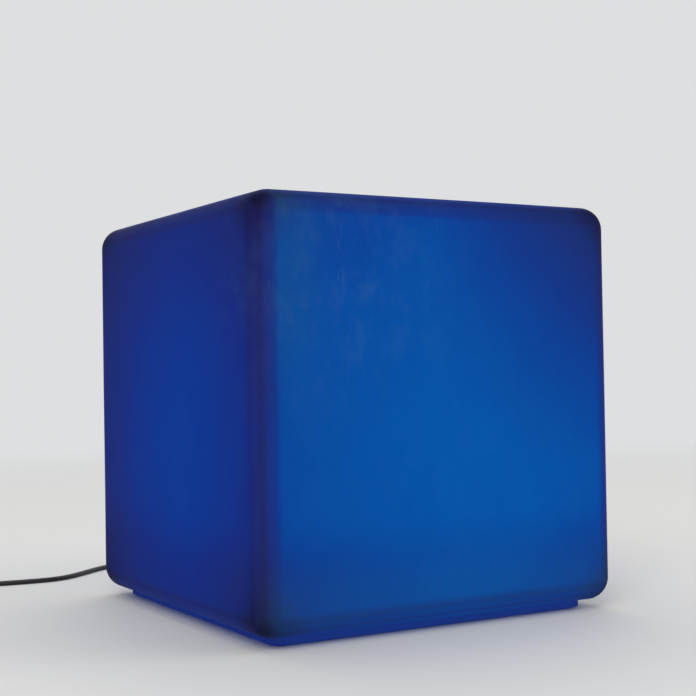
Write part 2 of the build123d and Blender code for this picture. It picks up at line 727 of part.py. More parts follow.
def led_connector():
    """The four-way plug connector at the board's side."""
    body = block(CONNECTOR_W, CONNECTOR_L, BOARD_TOP, BOARD_TOP + CONNECTOR_H, CONNECTOR_X, BOARD_AT_Y)
    low = BOARD_TOP + PORT_BOTTOM
    for y in wire_rows():
        body -= block(PORT_W, PORT_L, low, low + PORT_W, CONNECTOR_X - CONNECTOR_W / 2, y)
    return body


def wire_rows():
    """The rows that the four LED wires lie in."""
    return [BOARD_AT_Y + WIRE_PITCH * (k - (WIRES - 1) / 2) for k in range(WIRES)]


def led_wires():
    """Four thin wires: out of the connector, up through the slot and down on the LED board."""
    start_x = CONNECTOR_X - CONNECTOR_W / 2 - 0.2
    out = BOARD_TOP + WIRE_HEIGHT
    pad = SPREADER_BOTTOM + SPREADER_T + LED_BOARD_T
    arch = pad + WIRE_ARCH
    wires = []
    for y in wire_rows():
        route = [(start_x, y, out), (WIRE_SLOT_X, y, out), (WIRE_SLOT_X, y, arch)]
        route += [(WIRE_PAD_X, y, arch), (WIRE_PAD_X, y, pad)]
        line = FilletPolyline(*route, radius=list(WIRE_BENDS))
        start = Plane(origin=line @ 0, z_dir=line % 0)
        wires.append(sweep(start * Circle(WIRE_R), path=line))
    return wires


def tact_switch():
    """The switch under the control board, with a bore for its plunger."""
    low = BOARD_BOTTOM - SWITCH_H
    body = block(SWITCH_SIDE, SWITCH_SIDE, low, BOARD_BOTTOM, 0, BUTTON_AT_Y)
    return body - cylinder(PLUNGER_R + PLUNGER_GAP, low - CLEAR, BOARD_BOTTOM - 0.6, 0, BUTTON_AT_Y)


def switch_plunger():
    """The switch's plunger, which the button's stem pushes up."""
    return cylinder(PLUNGER_R, BUTTON_STEM_TOP, BOARD_BOTTOM - 0.8 - BUTTON_TRAVEL, 0, BUTTON_AT_Y)


def power_button():
    """The cap, pressed from below: a flange keeps it in and a stem meets the switch."""
    groove_low, groove_high = BUTTON_GROOVE
    ring_r = SPRING_R - 0.8
    ring_top = BUTTON_FLANGE_TOP + BUTTON_RING_H
    cap = turned(
        (0, BUTTON_FACE + BUTTON_DISH_DEPTH),
        (BUTTON_DISH_R, BUTTON_FACE + 0.3),
        (BUTTON_GROOVE_R, BUTTON_FACE),
        (BUTTON_R - 0.3, BUTTON_FACE),
        (BUTTON_R, BUTTON_FACE + 0.3),
        (BUTTON_R, groove_low),
        (BUTTON_GROOVE_R, groove_low),
        (BUTTON_GROOVE_R, groove_high),
        (BUTTON_R, groove_high),
        (BUTTON_R, BELLY_FLOOR + SLIP),
        (BUTTON_FLANGE_R, BELLY_FLOOR + SLIP),
        (BUTTON_FLANGE_R, BUTTON_FLANGE_TOP),
        (ring_r, BUTTON_FLANGE_TOP),
        (ring_r, ring_top),
        (BUTTON_STEM_R, ring_top),
        (BUTTON_STEM_R, BUTTON_STEM_TOP),
        (0, BUTTON_STEM_TOP),
    )
    return Pos(0, BUTTON_AT_Y, 0) * cap


def button_oring():
    """The ring in the cap's groove that keeps water out."""
    return Pos(0, BUTTON_AT_Y, sum(BUTTON_GROOVE) / 2) * Torus(ORING_R, ORING_WIRE_R)


def button_spring():
    """The spring round the switch, between the cap's flange and the board."""
    low = BUTTON_FLANGE_TOP + SPRING_WIRE / 2 + SPRING_GAP
    high = BOARD_BOTTOM - SPRING_WIRE / 2 - SPRING_GAP
    pitch = (high - low) / SPRING_TURNS
    points = []
    directions = []
    for k in range(4 * SPRING_TURNS + 1):
        angle = math.pi / 2 * k
        x = SPRING_R * math.cos(angle)
        y = SPRING_R * math.sin(angle)
        points.append(Vector(x, BUTTON_AT_Y + y, low + pitch * k / 4))
        directions.append(Vector(-y, x, pitch / (2 * math.pi)).normalized())
    edges = wound_path(points, directions)
    print(f"spring: least gap to itself {least_gap(edges, SPRING_WIRE, 4 * SPRING_R):.2f}")
    return swept(edges, SPRING_WIRE)


def relief(length, root_r, tip_r, wall):
    """A moulded strain relief along +Z: it starts on the outside of a wall at z = 0."""
    bore = CORD_D / 2 + SLIP
    collar_top = -wall - RELIEF_SEAT_GAP
    collar_bottom = collar_top - RELIEF_COLLAR_T
    outline = [(bore, collar_bottom), (RELIEF_COLLAR_R, collar_bottom), (RELIEF_COLLAR_R, collar_top)]
    outline += [(RELIEF_NECK_R, collar_top), (RELIEF_NECK_R, SLIP), (root_r, SLIP), (root_r, RELIEF_HEAD_T)]
    # grooves with sloping upper sides, which let the tapered part bend
    for k in range(RELIEF_GROOVES):
        low = RELIEF_FIRST_GROOVE + RELIEF_GROOVE_SPACING * length * k
        radius = root_r + (tip_r - root_r) * (low - RELIEF_HEAD_T) / (length - RELIEF_HEAD_T)
        deep = radius - RELIEF_GROOVE_DEPTH
        outline += [(radius, low), (deep, low + 0.3), (deep, low + 1.5), (radius - 0.1, low + 1.8)]
    outline += [(tip_r, length), (bore, length)]
    return turned(*outline)


def strain_relief():
    """The strain relief in the tray's wall, lying level; its inner collar is flat on the tray's floor."""
    part = relief(RELIEF_LENGTH, RELIEF_ROOT_R, RELIEF_TIP_R, TRAY_WALL)
    part = Pos(0, BELLY_R, CORD_AXIS) * Rot(-90, 0, 0) * part
    flat_y = BELLY_R - TRAY_WALL - RELIEF_FLAT_L / 2
    return part - block(3 * RELIEF_COLLAR_R, RELIEF_FLAT_L, 0, BELLY_FLOOR + SLIP, 0, flat_y)


def clamp_places():
    """The two posts beside the cord that the clamp is screwed on."""
    return [(-CLAMP_POST_X, CLAMP_Y), (CLAMP_POST_X, CLAMP_Y)]


def cable_clamp():
    """A bar that presses the cord on the floor of the tray."""
    low = CORD_AXIS + CLAMP_LIFT
    top = low + CLAMP_BAR_T
    bar = rounded_block(CLAMP_BAR_W, CLAMP_BAR_L, CLAMP_BAR_CORNER_R, low, top, 0, CLAMP_Y)
    bar -= Pos(0, CLAMP_Y, CORD_AXIS) * Rot(90, 0, 0) * Cylinder(CORD_D / 2 + SLIP, 2 * CLAMP_BAR_L)
    return drilled(bar, clamp_places(), CLAMP_HOLE_R, low - CLEAR, top + CLEAR)


def clamp_screws():
    """The clamp's two screws."""
    screw = pan_screw(*CLAMP_SCREW)
    return [Pos(x, y, CORD_AXIS + CLAMP_LIFT + CLAMP_BAR_T) * screw for x, y in clamp_places()]


def cord_tail():
    """The sheathed end of the cord inside the clamp and the strain relief."""
    length = RELIEF_TIP_Y - CORD_END_Y
    return Pos(0, RELIEF_TIP_Y - length / 2, CORD_AXIS) * Rot(90, 0, 0) * Cylinder(CORD_D / 2, length)


def core(side):
    """One insulated core, from the end of the sheath up to the terminal block."""
    high = BOARD_TOP + CORE_HEIGHT
    route = [
        (side * CORE_X, CORD_END_Y, CORD_AXIS),
        (side * CORE_X, CORE_RISE_Y, CORD_AXIS),
        (side * TERMINAL_X, CORE_RISE_Y, high),
        (side * TERMINAL_X, TERMINAL_AT_Y + TERMINAL_L / 2, high),
    ]
    line = FilletPolyline(*route, radius=[CORE_BEND_R, CORE_BEND_R])
    start = Plane(origin=line @ 0, z_dir=line % 0)
    return sweep(start * Circle(CORE_R), path=line)


def power_cord():
    """The cord's free stretch: through the channel, round behind the cube and off to the coil."""
    points = [Vector(*p) for p in ROUTE]
    radii = []
    for k in range(1, len(points) - 1):
        before = points[k] - points[k - 1]
        after = points[k + 1] - points[k]
        turn = math.radians(before.get_angle(after))
        radii.append(0.45 * min(before.length, after.length) / math.tan(turn / 2))
    print("cord radii", [round(r) for r in radii])
    return swept(FilletPolyline(*ROUTE, radius=radii).edges(), CORD_D)


def coil_edges():
    """The coil's axis: straight in, down the spiral, up a layer, out again and straight out."""
    points = []
    directions = []
    last = QUARTERS_IN + QUARTERS_OUT
    for k in range(last + 1):
        angle = -math.pi / 2 - math.pi / 2 * k
        radius = COIL_MIN_R + COIL_PITCH * abs(k - QUARTERS_IN) / 4
        layer = min(max((k - QUARTERS_IN + 1) / 2, 0), 1)
        # outward and upward parts of a step of one radian
        outward = 0
        if k not in (0, QUARTERS_IN, last):
            outward = math.copysign(COIL_PITCH, k - QUARTERS_IN) / (2 * math.pi)
        upward = COIL_PITCH / math.pi if k == QUARTERS_IN else 0
        x = math.cos(angle)
        y = math.sin(angle)
        points.append(Vector(COIL_X + radius * x, COIL_Y + radius * y, COIL_AXIS + COIL_PITCH * layer))
        along = Vector(radius * y + outward * x, outward * y - radius * x, upward)
        directions.append(along.normalized())
    start = Line(points[0] - directions[0] * COIL_STRAIGHT, points[0])
    end = Line(points[-1], (ADAPTOR_X, ADAPTOR_RELIEF_TIP_Y, ADAPTOR_AXIS))
    return [start] + wound_path(points, directions) + [end]


def cord_coil():
    """The put-away length of the cord, wound in two layers as one tube."""
    edges = coil_edges()
    print(f"coil: least gap to itself {least_gap(edges, CORD_D, 8 * CORD_D):.2f}")
    return swept(edges, CORD_D)


def cord_tie():
    """A hook and loop strap round all turns of the coil."""
    near = COIL_MIN_R - CORD_D / 2 - TIE_INNER_GAP
    far = COIL_END_R + CORD_D / 2 + TIE_OUTER_GAP
    low = COIL_AXIS - CORD_D / 2 - TIE_UNDER_GAP
    high = COIL_AXIS + COIL_PITCH + CORD_D / 2 + TIE_OVER_GAP
    outer = RectangleRounded(far - near + 2 * TIE_T, high - low + 2 * TIE_T, TIE_CORNER_R)
    inner = RectangleRounded(far - near, high - low, TIE_CORNER_R - TIE_T)
    strap = extrude(outer - inner, TIE_W / 2, both=True)
    return Pos(COIL_X + (near + far) / 2, COIL_Y, (low + high) / 2) * Rot(90, 0, 0) * strap


def cord_end():
    """The sheathed end of the cord inside the adaptor's strain relief."""
    length = ADAPTOR_RELIEF_LENGTH + ADAPTOR_WALL + CORD_END_INSIDE
    middle = ADAPTOR_RELIEF_TIP_Y + length / 2
    return Pos(ADAPTOR_X, middle, ADAPTOR_AXIS) * Rot(90, 0, 0) * Cylinder(CORD_D / 2, length)


def adaptor_relief():
    """The strain relief in the adaptor's end wall."""
    part = relief(ADAPTOR_RELIEF_LENGTH, ADAPTOR_RELIEF_ROOT_R, RELIEF_TIP_R, ADAPTOR_WALL)
    return Pos(ADAPTOR_X, ADAPTOR_FACE_Y, ADAPTOR_AXIS) * Rot(90, 0, 0) * part


def adaptor_case():
    """The adaptor's back half, an open box that lies on the floor."""
    case = rounded_block(ADAPTOR_W, ADAPTOR_L, ADAPTOR_CORNER_R, 0, ADAPTOR_SPLIT)
    case = fillet(case.faces().sort_by(Axis.Z)[0].edges(), ADAPTOR_EDGE_R)
    case -= adaptor_inside(ADAPTOR_WALL, ADAPTOR_SPLIT + CLEAR)
    case -= Pos(0, -ADAPTOR_L / 2, ADAPTOR_AXIS) * Rot(90, 0, 0) * Cylinder(RELIEF_HOLE_R, 4 * ADAPTOR_WALL)
    return Pos(ADAPTOR_X, ADAPTOR_MID_Y, 0) * case


def adaptor_inside(low, high):
    """The hollow of the adaptor's two halves."""
    inside_w = ADAPTOR_W - 2 * ADAPTOR_WALL
    inside_l = ADAPTOR_L - 2 * ADAPTOR_WALL
    return rounded_block(inside_w, inside_l, ADAPTOR_CORNER_R - ADAPTOR_WALL, low, high)


def adaptor_cover():
    """The adaptor's front half, with the raised face that the pins stand on."""
    face = ADAPTOR_H + PIN_BOSS_H
    cover = rounded_block(ADAPTOR_W, ADAPTOR_L, ADAPTOR_CORNER_R, ADAPTOR_SPLIT, ADAPTOR_H)
    cover = fillet(cover.faces().sort_by(Axis.Z)[-1].edges(), ADAPTOR_EDGE_R)
    cover -= adaptor_inside(ADAPTOR_SPLIT - CLEAR, ADAPTOR_H - ADAPTOR_WALL)
    cover = Pos(ADAPTOR_X, ADAPTOR_MID_Y, 0) * cover
    boss_low = ADAPTOR_H - PIN_BOSS_ROOT
    cover += rounded_block(PIN_BOSS_W, PIN_BOSS_L, PIN_BOSS_CORNER_R, boss_low, face, ADAPTOR_X, PIN_AT_Y)
    return drilled(cover, pin_places(), PIN_CORE_R + FIT, ADAPTOR_SPLIT, face + CLEAR)


def pin_places():
    """The two pins' places."""
    return [(ADAPTOR_X - PIN_SPACING / 2, PIN_AT_Y), (ADAPTOR_X + PIN_SPACING / 2, PIN_AT_Y)]


def plug_pins():
    """Two round pins: a thinner core up to the sleeve's end, then the full diameter."""
    foot = ADAPTOR_SPLIT + PIN_FOOT
    face = ADAPTOR_H + PIN_BOSS_H
    wide = face + PIN_SLEEVE_LENGTH
    tip = face + PIN_LENGTH
    outline = [(0, foot), (PIN_CORE_R, foot), (PIN_CORE_R, wide), (PIN_R, wide)]
    outline += [(PIN_R - inward, tip - below) for inward, below in PIN_TIP]
    pin = turned(*outline, (0, tip))
    return [Pos(x, y, 0) * pin for x, y in pin_places()]


def pin_sleeves():
    """The insulating sleeves on the pins' lower part."""
    face = ADAPTOR_H + PIN_BOSS_H
    sleeve = ring(PIN_SLEEVE_R, PIN_CORE_R + FIT, face, face + PIN_SLEEVE_LENGTH)
    return [Pos(x, y, 0) * sleeve for x, y in pin_places()]


def adaptor_board():
    """The adaptor's circuit board."""
    board = rounded_block(
        SUPPLY_BOARD_W, SUPPLY_BOARD_L, SUPPLY_BOARD_CORNER_R, SUPPLY_BOARD_BOTTOM, SUPPLY_BOARD_TOP
    )
    return Pos(ADAPTOR_X, ADAPTOR_MID_Y + SUPPLY_BOARD_SHIFT_Y, 0) * board


def adaptor_transformer():
    """The adaptor's transformer: a wound bobbin between two halves of its core."""
    part = block(BOBBIN_W, BOBBIN_L, BOBBIN_BOTTOM, BOBBIN_TOP)
    for y in (-CORE_HALF_Y, CORE_HALF_Y):
        part += block(CORE_HALF_W, CORE_HALF_L, SUPPLY_BOARD_TOP, CORE_HALF_TOP, 0, y)
    return Pos(ADAPTOR_X, ADAPTOR_MID_Y + TRANSFORMER_SHIFT_Y, 0) * part


def adaptor_capacitors():
    """Two upright capacitors on the adaptor's board."""
    cans = []
    for x, radius, top in SUPPLY_CANS:
        can = cylinder(radius, SUPPLY_BOARD_TOP, top, ADAPTOR_X + x, ADAPTOR_MID_Y + SUPPLY_CAN_Y)
        cans.append(fillet(can.edges(), SUPPLY_CAN_EDGE_R))
    return cans


PIECES = {
    "cube_shell": cube_shell,
    "rubber_feet": rubber_feet,
    "threaded_inserts": threaded_inserts,
    "module_base": module_base,
    "flange_seal": flange_seal,
    "flange_screws": flange_screws,
    "heat_spreader": heat_spreader,
    "led_board": led_board,
    "leds": leds,
    "led_screws": led_screws,
    "diffuser_dome": diffuser_dome,
    "dome_seal": dome_seal,
    "dome_screws": dome_screws,
    "control_board": control_board,
    "board_screws": board_screws,
    "controller_chip": controller_chip,
    "drive_transistors": drive_transistors,
    "filter_capacitor": filter_capacitor,
    "choke": choke,
    "terminal_block": terminal_block,
    "terminal_screws": terminal_screws,
    "led_connector": led_connector,
    "led_wires": led_wires,
    "tact_switch": tact_switch,
    "switch_plunger": switch_plunger,
    "power_button": power_button,
    "button_oring": button_oring,
    "button_spring": button_spring,
    "strain_relief": strain_relief,
    "cable_clamp": cable_clamp,
    "clamp_screws": clamp_screws,
    "cord_tail": cord_tail,
    "positive_core": lambda: core(-1),
    "negative_core": lambda: core(1),
    "power_cord": power_cord,
    "cord_coil": cord_coil,
    "cord_tie": cord_tie,
    "cord_end": cord_end,
    "adaptor_relief": adaptor_relief,
    "adaptor_case": adaptor_case,
    "adaptor_cover": adaptor_cover,
    "plug_pins": plug_pins,
    "pin_sleeves": pin_sleeves,
    "adaptor_board": adaptor_board,
    "adaptor_transformer": adaptor_transformer,
    "adaptor_capacitors": adaptor_capacitors,
}

os.makedirs("parts", exist_ok=True)
for name, make in PIECES.items():
    piece = make()
    if isinstance(piece, list):
        piece = Compound(children=[solid for part in piece for solid in part.solids()])
    export_step(piece, f"parts/{name}.step")
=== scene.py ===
import math

import bmesh
import bpy
from mathutils import Matrix, Vector, noise


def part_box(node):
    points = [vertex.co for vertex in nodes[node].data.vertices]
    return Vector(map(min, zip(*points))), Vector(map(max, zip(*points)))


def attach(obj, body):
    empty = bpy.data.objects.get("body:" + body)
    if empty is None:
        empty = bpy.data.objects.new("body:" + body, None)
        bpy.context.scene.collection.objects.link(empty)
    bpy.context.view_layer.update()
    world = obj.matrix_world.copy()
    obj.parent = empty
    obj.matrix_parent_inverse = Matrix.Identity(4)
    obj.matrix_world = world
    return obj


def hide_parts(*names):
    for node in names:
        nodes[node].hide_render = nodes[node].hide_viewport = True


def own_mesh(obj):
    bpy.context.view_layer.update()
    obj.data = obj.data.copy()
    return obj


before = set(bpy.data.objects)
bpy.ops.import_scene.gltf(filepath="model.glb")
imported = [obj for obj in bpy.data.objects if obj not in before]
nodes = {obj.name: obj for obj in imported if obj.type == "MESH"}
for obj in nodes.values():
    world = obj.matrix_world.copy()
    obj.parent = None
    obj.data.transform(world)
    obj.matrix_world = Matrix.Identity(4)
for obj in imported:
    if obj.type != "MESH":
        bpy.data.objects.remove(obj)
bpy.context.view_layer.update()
scene = bpy.context.scene


# ---------------------------------------------------------------- camera
# The cube is seen from low down, with its near upright edge left of the middle: the wide face on
# the right is the front, and the narrow one on the left is turned well away.
VIEW_FROM = Vector((-0.70649, -1.22435, 0.24120))
VIEW_TURN = math.radians(-30.238)
VIEW_PITCH = math.radians(1.026)
VIEW_ROLL = math.radians(-0.927)
VIEW_LENS = 69.15

lens = bpy.data.cameras.new("view")
lens.sensor_width = 36.0
lens.lens = VIEW_LENS
lens.clip_start = 0.02
lens.clip_end = 200.0
camera = bpy.data.objects.new("view", lens)
scene.collection.objects.link(camera)
camera.matrix_world = (
    Matrix.Translation(VIEW_FROM)
    @ Matrix.Rotation(VIEW_TURN, 4, "Z")
    @ Matrix.Rotation(math.pi / 2 + VIEW_PITCH, 4, "X")
    @ Matrix.Rotation(VIEW_ROLL, 4, "Z")
)
scene.camera = camera
scene.view_settings.view_transform = "Standard"


# ---------------------------------------------------------------- power cord
# A two-core flexible cord with a round black sheath. It leaves the strain relief in the channel of
# the plinth, comes down to the floor, bends round behind the cube and lies wound where it isn't
# seen: a spiral that comes in on the floor and goes out again on top of itself, up to the adaptor.
CORD_D = 0.0055
CORD_ROUTE = [
    (0.0, 0.092, 0.008),
    (0.0, 0.131, 0.008),
    (0.0006, 0.187, 0.0054),
    (-0.001, 0.243, 0.00285),
    (-0.007, 0.296, 0.00285),
    (-0.025, 0.343, 0.00285),
    (-0.057, 0.378, 0.00285),
    (-0.099, 0.388, 0.00285),
    (-0.138, 0.371, 0.00285),
    (-0.171, 0.341, 0.00285),
    (-0.205, 0.316, 0.00285),
    (-0.243, 0.3165, 0.00285),
    (-0.279, 0.3225, 0.00285),
    (-0.313, 0.32365, 0.0036),
    (-0.3465, 0.32365, 0.0036),
]
COIL_AT = (-0.352, 0.363)
COIL_MIN_R = 0.0215
COIL_PITCH = 0.00595
COIL_TURNS_IN = 3.0
COIL_TURNS_OUT = 3.25
COIL_LOW = 0.0036
POINTS_A_TURN = 16
HALF_CLIMB = 0.25
INSIDE_CUT = 0.9815  # an order 3 curve runs this much inside control points on a circle of 16
ADAPTOR_X = COIL_AT[0] - COIL_MIN_R - COIL_PITCH * COIL_TURNS_OUT
RELIEF_TIP_Y = COIL_AT[1] + 0.007


def colour(red, green, blue):
    """A colour as written on a paint card, 0 to 255, as the linear values that the nodes take."""
    parts = []
    for part in (red, green, blue):
        part /= 255
        parts.append(part / 12.92 if part <= 0.04045 else ((part + 0.055) / 1.055) ** 2.4)
    return (*parts, 1.0)


def coil_points():
    """The turns of the coil, from the end of the lower run to the start of the upper one."""
    points = []
    for k in range(round((COIL_TURNS_IN + COIL_TURNS_OUT) * POINTS_A_TURN) + 1):
        turns = k / POINTS_A_TURN
        angle = -math.pi / 2 - 2 * math.pi * turns
        away = turns - COIL_TURNS_IN
        radius = (COIL_MIN_R + COIL_PITCH * abs(away)) / INSIDE_CUT
        share = min(max((away + HALF_CLIMB) / (2 * HALF_CLIMB), 0.0), 1.0)
        rise = share * share * (3 - 2 * share)
        points.append((
            COIL_AT[0] + radius * math.cos(angle),
            COIL_AT[1] + radius * math.sin(angle),
            COIL_LOW + COIL_PITCH * rise,
        ))
    return points


def add_node(tree, kind, **settings):
    """A new node with its properties set."""
    node = tree.nodes.new(kind)
    for key, value in settings.items():
        setattr(node, key, value)
    return node


def feed(tree, value, socket):
    """Sets a socket to a plain value, or links another node's output to it."""
    if isinstance(value, bpy.types.NodeSocket):
        tree.links.new(value, socket)
    elif value is not None:
        socket.default_value = value


def new_material(name, roughness=0.5, metallic=0.0, specular=0.5):
    """A material with a Principled shader: its node tree and the shader."""
    made = bpy.data.materials.new(name)
    made.use_nodes = True
    shader = made.node_tree.nodes["Principled BSDF"]
    shader.inputs["Roughness"].default_value = roughness
    shader.inputs["Metallic"].default_value = metallic
    shader.inputs["Specular IOR Level"].default_value = specular
    return made, made.node_tree, shader


def sums(tree, operation, *values):
    """A Math node's result."""
    node = add_node(tree, "ShaderNodeMath", operation=operation)
    for value, socket in zip(values, node.inputs):
        feed(tree, value, socket)
    return node.outputs[0]


def times(tree, first, second):
    """One value multiplied by another."""
    return sums(tree, "MULTIPLY", first, second)


def minus(tree, first, second):
    """One value less another."""
    return sums(tree, "SUBTRACT", first, second)


def vectors(tree, operation, first, second=None):
    """A Vector Math node's result."""
    node = add_node(tree, "ShaderNodeVectorMath", operation=operation)
    feed(tree, first, node.inputs[0])
    feed(tree, second, node.inputs[1])
    return node.outputs["Value" if operation in ("DOT_PRODUCT", "LENGTH") else "Vector"]


def eased(tree, value, low, high, to_low=0.0, to_high=1.0, way="SMOOTHSTEP"):
    """A value carried smoothly or evenly from one range to another and held at its ends."""
    node = add_node(tree, "ShaderNodeMapRange", interpolation_type=way)
    for socket, number in zip(node.inputs[:5], (value, low, high, to_low, to_high)):
        feed(tree, number, socket)
    return node.outputs["Result"]


def xyz(tree, vector):
    """A vector's three values."""
    node = add_node(tree, "ShaderNodeSeparateXYZ")
    feed(tree, vector, node.inputs[0])
    return node.outputs


def on_surface(tree):
    """Each point's place and the way it faces, in the piece's own space."""
    node = add_node(tree, "ShaderNodeTexCoord")
    return node.outputs["Object"], node.outputs["Normal"]


def mottle(tree, place, scale, stretch=(1, 1, 1), detail=2.0, roughness=0.5):
    """Cloudy noise, about 0.5 on average, over places in metres."""
    spread = add_node(tree, "ShaderNodeMapping", vector_type="POINT")
    spread.inputs["Scale"].default_value = [scale * part for part in stretch]
    feed(tree, place, spread.inputs["Vector"])
    node = add_node(tree, "ShaderNodeTexNoise")
    node.inputs["Scale"].default_value = 1.0
    node.inputs["Detail"].default_value = detail
    node.inputs["Roughness"].default_value = roughness
    feed(tree, spread.outputs["Vector"], node.inputs["Vector"])
    return node.outputs["Fac"]


def blended(tree, share, first, second):
    """One colour mixed into another."""
    node = add_node(tree, "ShaderNodeMix", data_type="RGBA")
    for socket, value in zip((0, 6, 7), (share, first, second)):  # its sockets for colours
        feed(tree, value, node.inputs[socket])
    return node.outputs[2]


def bump(tree, shader, height, strength, distance):
    """Feeds a height to the shader's normal."""
    node = add_node(tree, "ShaderNodeBump")
    node.inputs["Strength"].default_value = strength
    node.inputs["Distance"].default_value = distance
    feed(tree, height, node.inputs["Height"])
    feed(tree, node.outputs["Normal"], shader.inputs["Normal"])


def new_group(name, inputs, *outputs):
    """A shader node group with named value and colour sockets: its tree, entry and exit nodes."""
    group = bpy.data.node_groups.new(name, "ShaderNodeTree")
    for socket, value in inputs.items():
        kind = "NodeSocketColor" if isinstance(value, tuple) else "NodeSocketFloat"
        made = group.interface.new_socket(name=socket, in_out="INPUT", socket_type=kind)
        made.default_value = value
    for socket in outputs:
        kind = "NodeSocketColor" if socket == "Color" else "NodeSocketFloat"
        group.interface.new_socket(name=socket, in_out="OUTPUT", socket_type=kind)
    return group, group.nodes.new("NodeGroupInput"), group.nodes.new("NodeGroupOutput")


def give_out(tree, outward, *values):
    """Feeds a group's exit, in the order of its sockets."""
    for value, socket in zip(values, outward.inputs):
        feed(tree, value, socket)


def place_group(tree, group, **inputs):
    """A group's node in a material, with its inputs set or linked."""
    node = add_node(tree, "ShaderNodeGroup", node_tree=group)
    for socket, value in inputs.items():
        feed(tree, value, node.inputs[socket.replace("_", " ")])
    return node.outputs


def grain_noise(tree, place, scale, detail=2.0):
    """Noise whose scale may be another node's value."""
    node = add_node(tree, "ShaderNodeTexNoise")
    node.inputs["Detail"].default_value = detail
    feed(tree, place, node.inputs["Vector"])
    feed(tree, scale, node.inputs["Scale"])
    return node.outputs["Fac"]


# the skin of a moulded plastic or rubber: a fine grain, and patches that are duller and paler
PATCHES = 65.0  # in a metre
moulded_skin, inward, outward = new_group(
    "moulded_skin",
    {"Tint": (0.5, 0.5, 0.5, 1.0), "Grain": 900.0, "Patchiness": 0.2, "Roughness": 0.5},
    "Color", "Roughness", "Height",
)
tree = moulded_skin
place, _ = on_surface(tree)
fine = grain_noise(tree, place, inward.outputs["Grain"], 3.0)
coarse = eased(tree, mottle(tree, place, PATCHES, detail=4.0, roughness=0.6), 0.3, 0.7, -1.0, 1.0)
swing = times(tree, coarse, inward.outputs["Patchiness"])
lift = sums(tree, "ADD", times(tree, swing, 0.5), 1.0)
speckle = sums(tree, "ADD", times(tree, fine, 0.16), 0.92)
tinted = vectors(tree, "SCALE", inward.outputs["Tint"])
feed(tree, times(tree, lift, speckle), tinted.node.inputs["Scale"])
rough = sums(tree, "ADD", inward.outputs["Roughness"], times(tree, swing, 0.25))
rough = sums(tree, "ADD", rough, times(tree, fine, 0.08))
give_out(tree, outward, tinted, rough, fine)

# dust on what faces up, thicker in patches
DUST = colour(150, 146, 140)
DUST_PATCHES = 190.0
settled_dust, inward, outward = new_group("settled_dust", {"Amount": 0.3}, "Mask")
tree = settled_dust
place, normal = on_surface(tree)
upward = eased(tree, xyz(tree, normal)["Z"], 0.1, 0.95)
patchy = eased(tree, mottle(tree, place, DUST_PATCHES, detail=5.0, roughness=0.7), 0.42, 0.68)
give_out(tree, outward, times(tree, times(tree, upward, patchy), inward.outputs["Amount"]))


def moulded(name, tint, roughness=0.5, grain=900.0, patchiness=0.2, depth=0.00008, dust=0.0, specular=0.5):
    """A moulded plastic or rubber."""
    made, tree, shader = new_material(name, specular=specular)
    skin = place_group(tree, moulded_skin, Tint=tint, Grain=grain, Patchiness=patchiness, Roughness=roughness)
    shade = skin["Color"]
    if dust:
        mask = place_group(tree, settled_dust, Amount=dust)["Mask"]
        shade = blended(tree, mask, shade, DUST)
    feed(tree, shade, shader.inputs["Base Color"])
    feed(tree, skin["Roughness"], shader.inputs["Roughness"])
    bump(tree, shader, skin["Height"], 0.5, depth)
    return made


sheath = moulded("cord_sheath", colour(20, 20, 22), 0.42, 1500.0, 0.2, 0.00005, dust=0.10)

top_end = (ADAPTOR_X, RELIEF_TIP_Y, COIL_LOW + COIL_PITCH)
cord_points = CORD_ROUTE + coil_points()[1:] + [top_end]
line = bpy.data.curves.new("power_cord_line", "CURVE")
line.dimensions = "3D"
line.resolution_u = 6
line.bevel_depth = CORD_D / 2
line.bevel_resolution = 5
line.use_fill_caps = True
spline = line.splines.new("NURBS")
spline.points.add(len(cord_points) - 1)
for point, place in zip(spline.points, cord_points):
    point.co = (*place, 1.0)
spline.order_u = 3
spline.use_endpoint_u = True
cord = bpy.data.objects.new("power_cord_sheath", line)
scene.collection.objects.link(cord)
cord.data.materials.append(sheath)
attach(cord, "cube")
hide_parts("power_cord", "cord_coil")


# ---------------------------------------------------------------- cord tie
# A strap of woven hook and loop tape, wrapped once round all the turns of the coil and pressed
# down on itself on top, where its rounded end lies free.
TIE_W = 0.010
TIE_T = 0.0008
TIE_CORNER_R = 0.0026  # of the strap's middle line
TIE_OVERLAP = 0.017
TIE_LIFT = 0.0006
TIE_EDGE_R = 0.00018
CORNER_STEPS = 6
ROUNDED_END = ((0.0016, 0.97), (0.0015, 0.86), (0.0011, 0.64), (0.0006, 0.30))  # steps and widths
RIB_PITCH = 9000.0
PICK_PITCH = 7000.0

tie_low, tie_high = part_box("cord_tie")
left = tie_low.x + TIE_T / 2
right = tie_high.x - TIE_T / 2
bottom = tie_low.z + TIE_T / 2
top = tie_high.z - TIE_T / 2


def corner_arc(x, z, radius, first):
    """Points on a quarter turn, clockwise as seen from the front."""
    steps = [math.radians(first - 90 * k / CORNER_STEPS) for k in range(CORNER_STEPS + 1)]
    return [Vector((x + radius * math.cos(a), 0, z + radius * math.sin(a))) for a in steps]


def select_only(piece):
    """Makes one object the selected and active one."""
    bpy.ops.object.select_all(action="DESELECT")
    piece.select_set(True)
    bpy.context.view_layer.objects.active = piece


def tidy_skin(piece):
    """Turns a closed skin's faces outwards and shades its gentle bends smooth."""
    select_only(piece)
    bpy.ops.object.mode_set(mode="EDIT")
    bpy.ops.mesh.select_all(action="SELECT")
    bpy.ops.mesh.normals_make_consistent(inside=False)
    bpy.ops.object.mode_set(mode="OBJECT")
    bpy.ops.object.shade_smooth_by_angle(angle=math.radians(40))


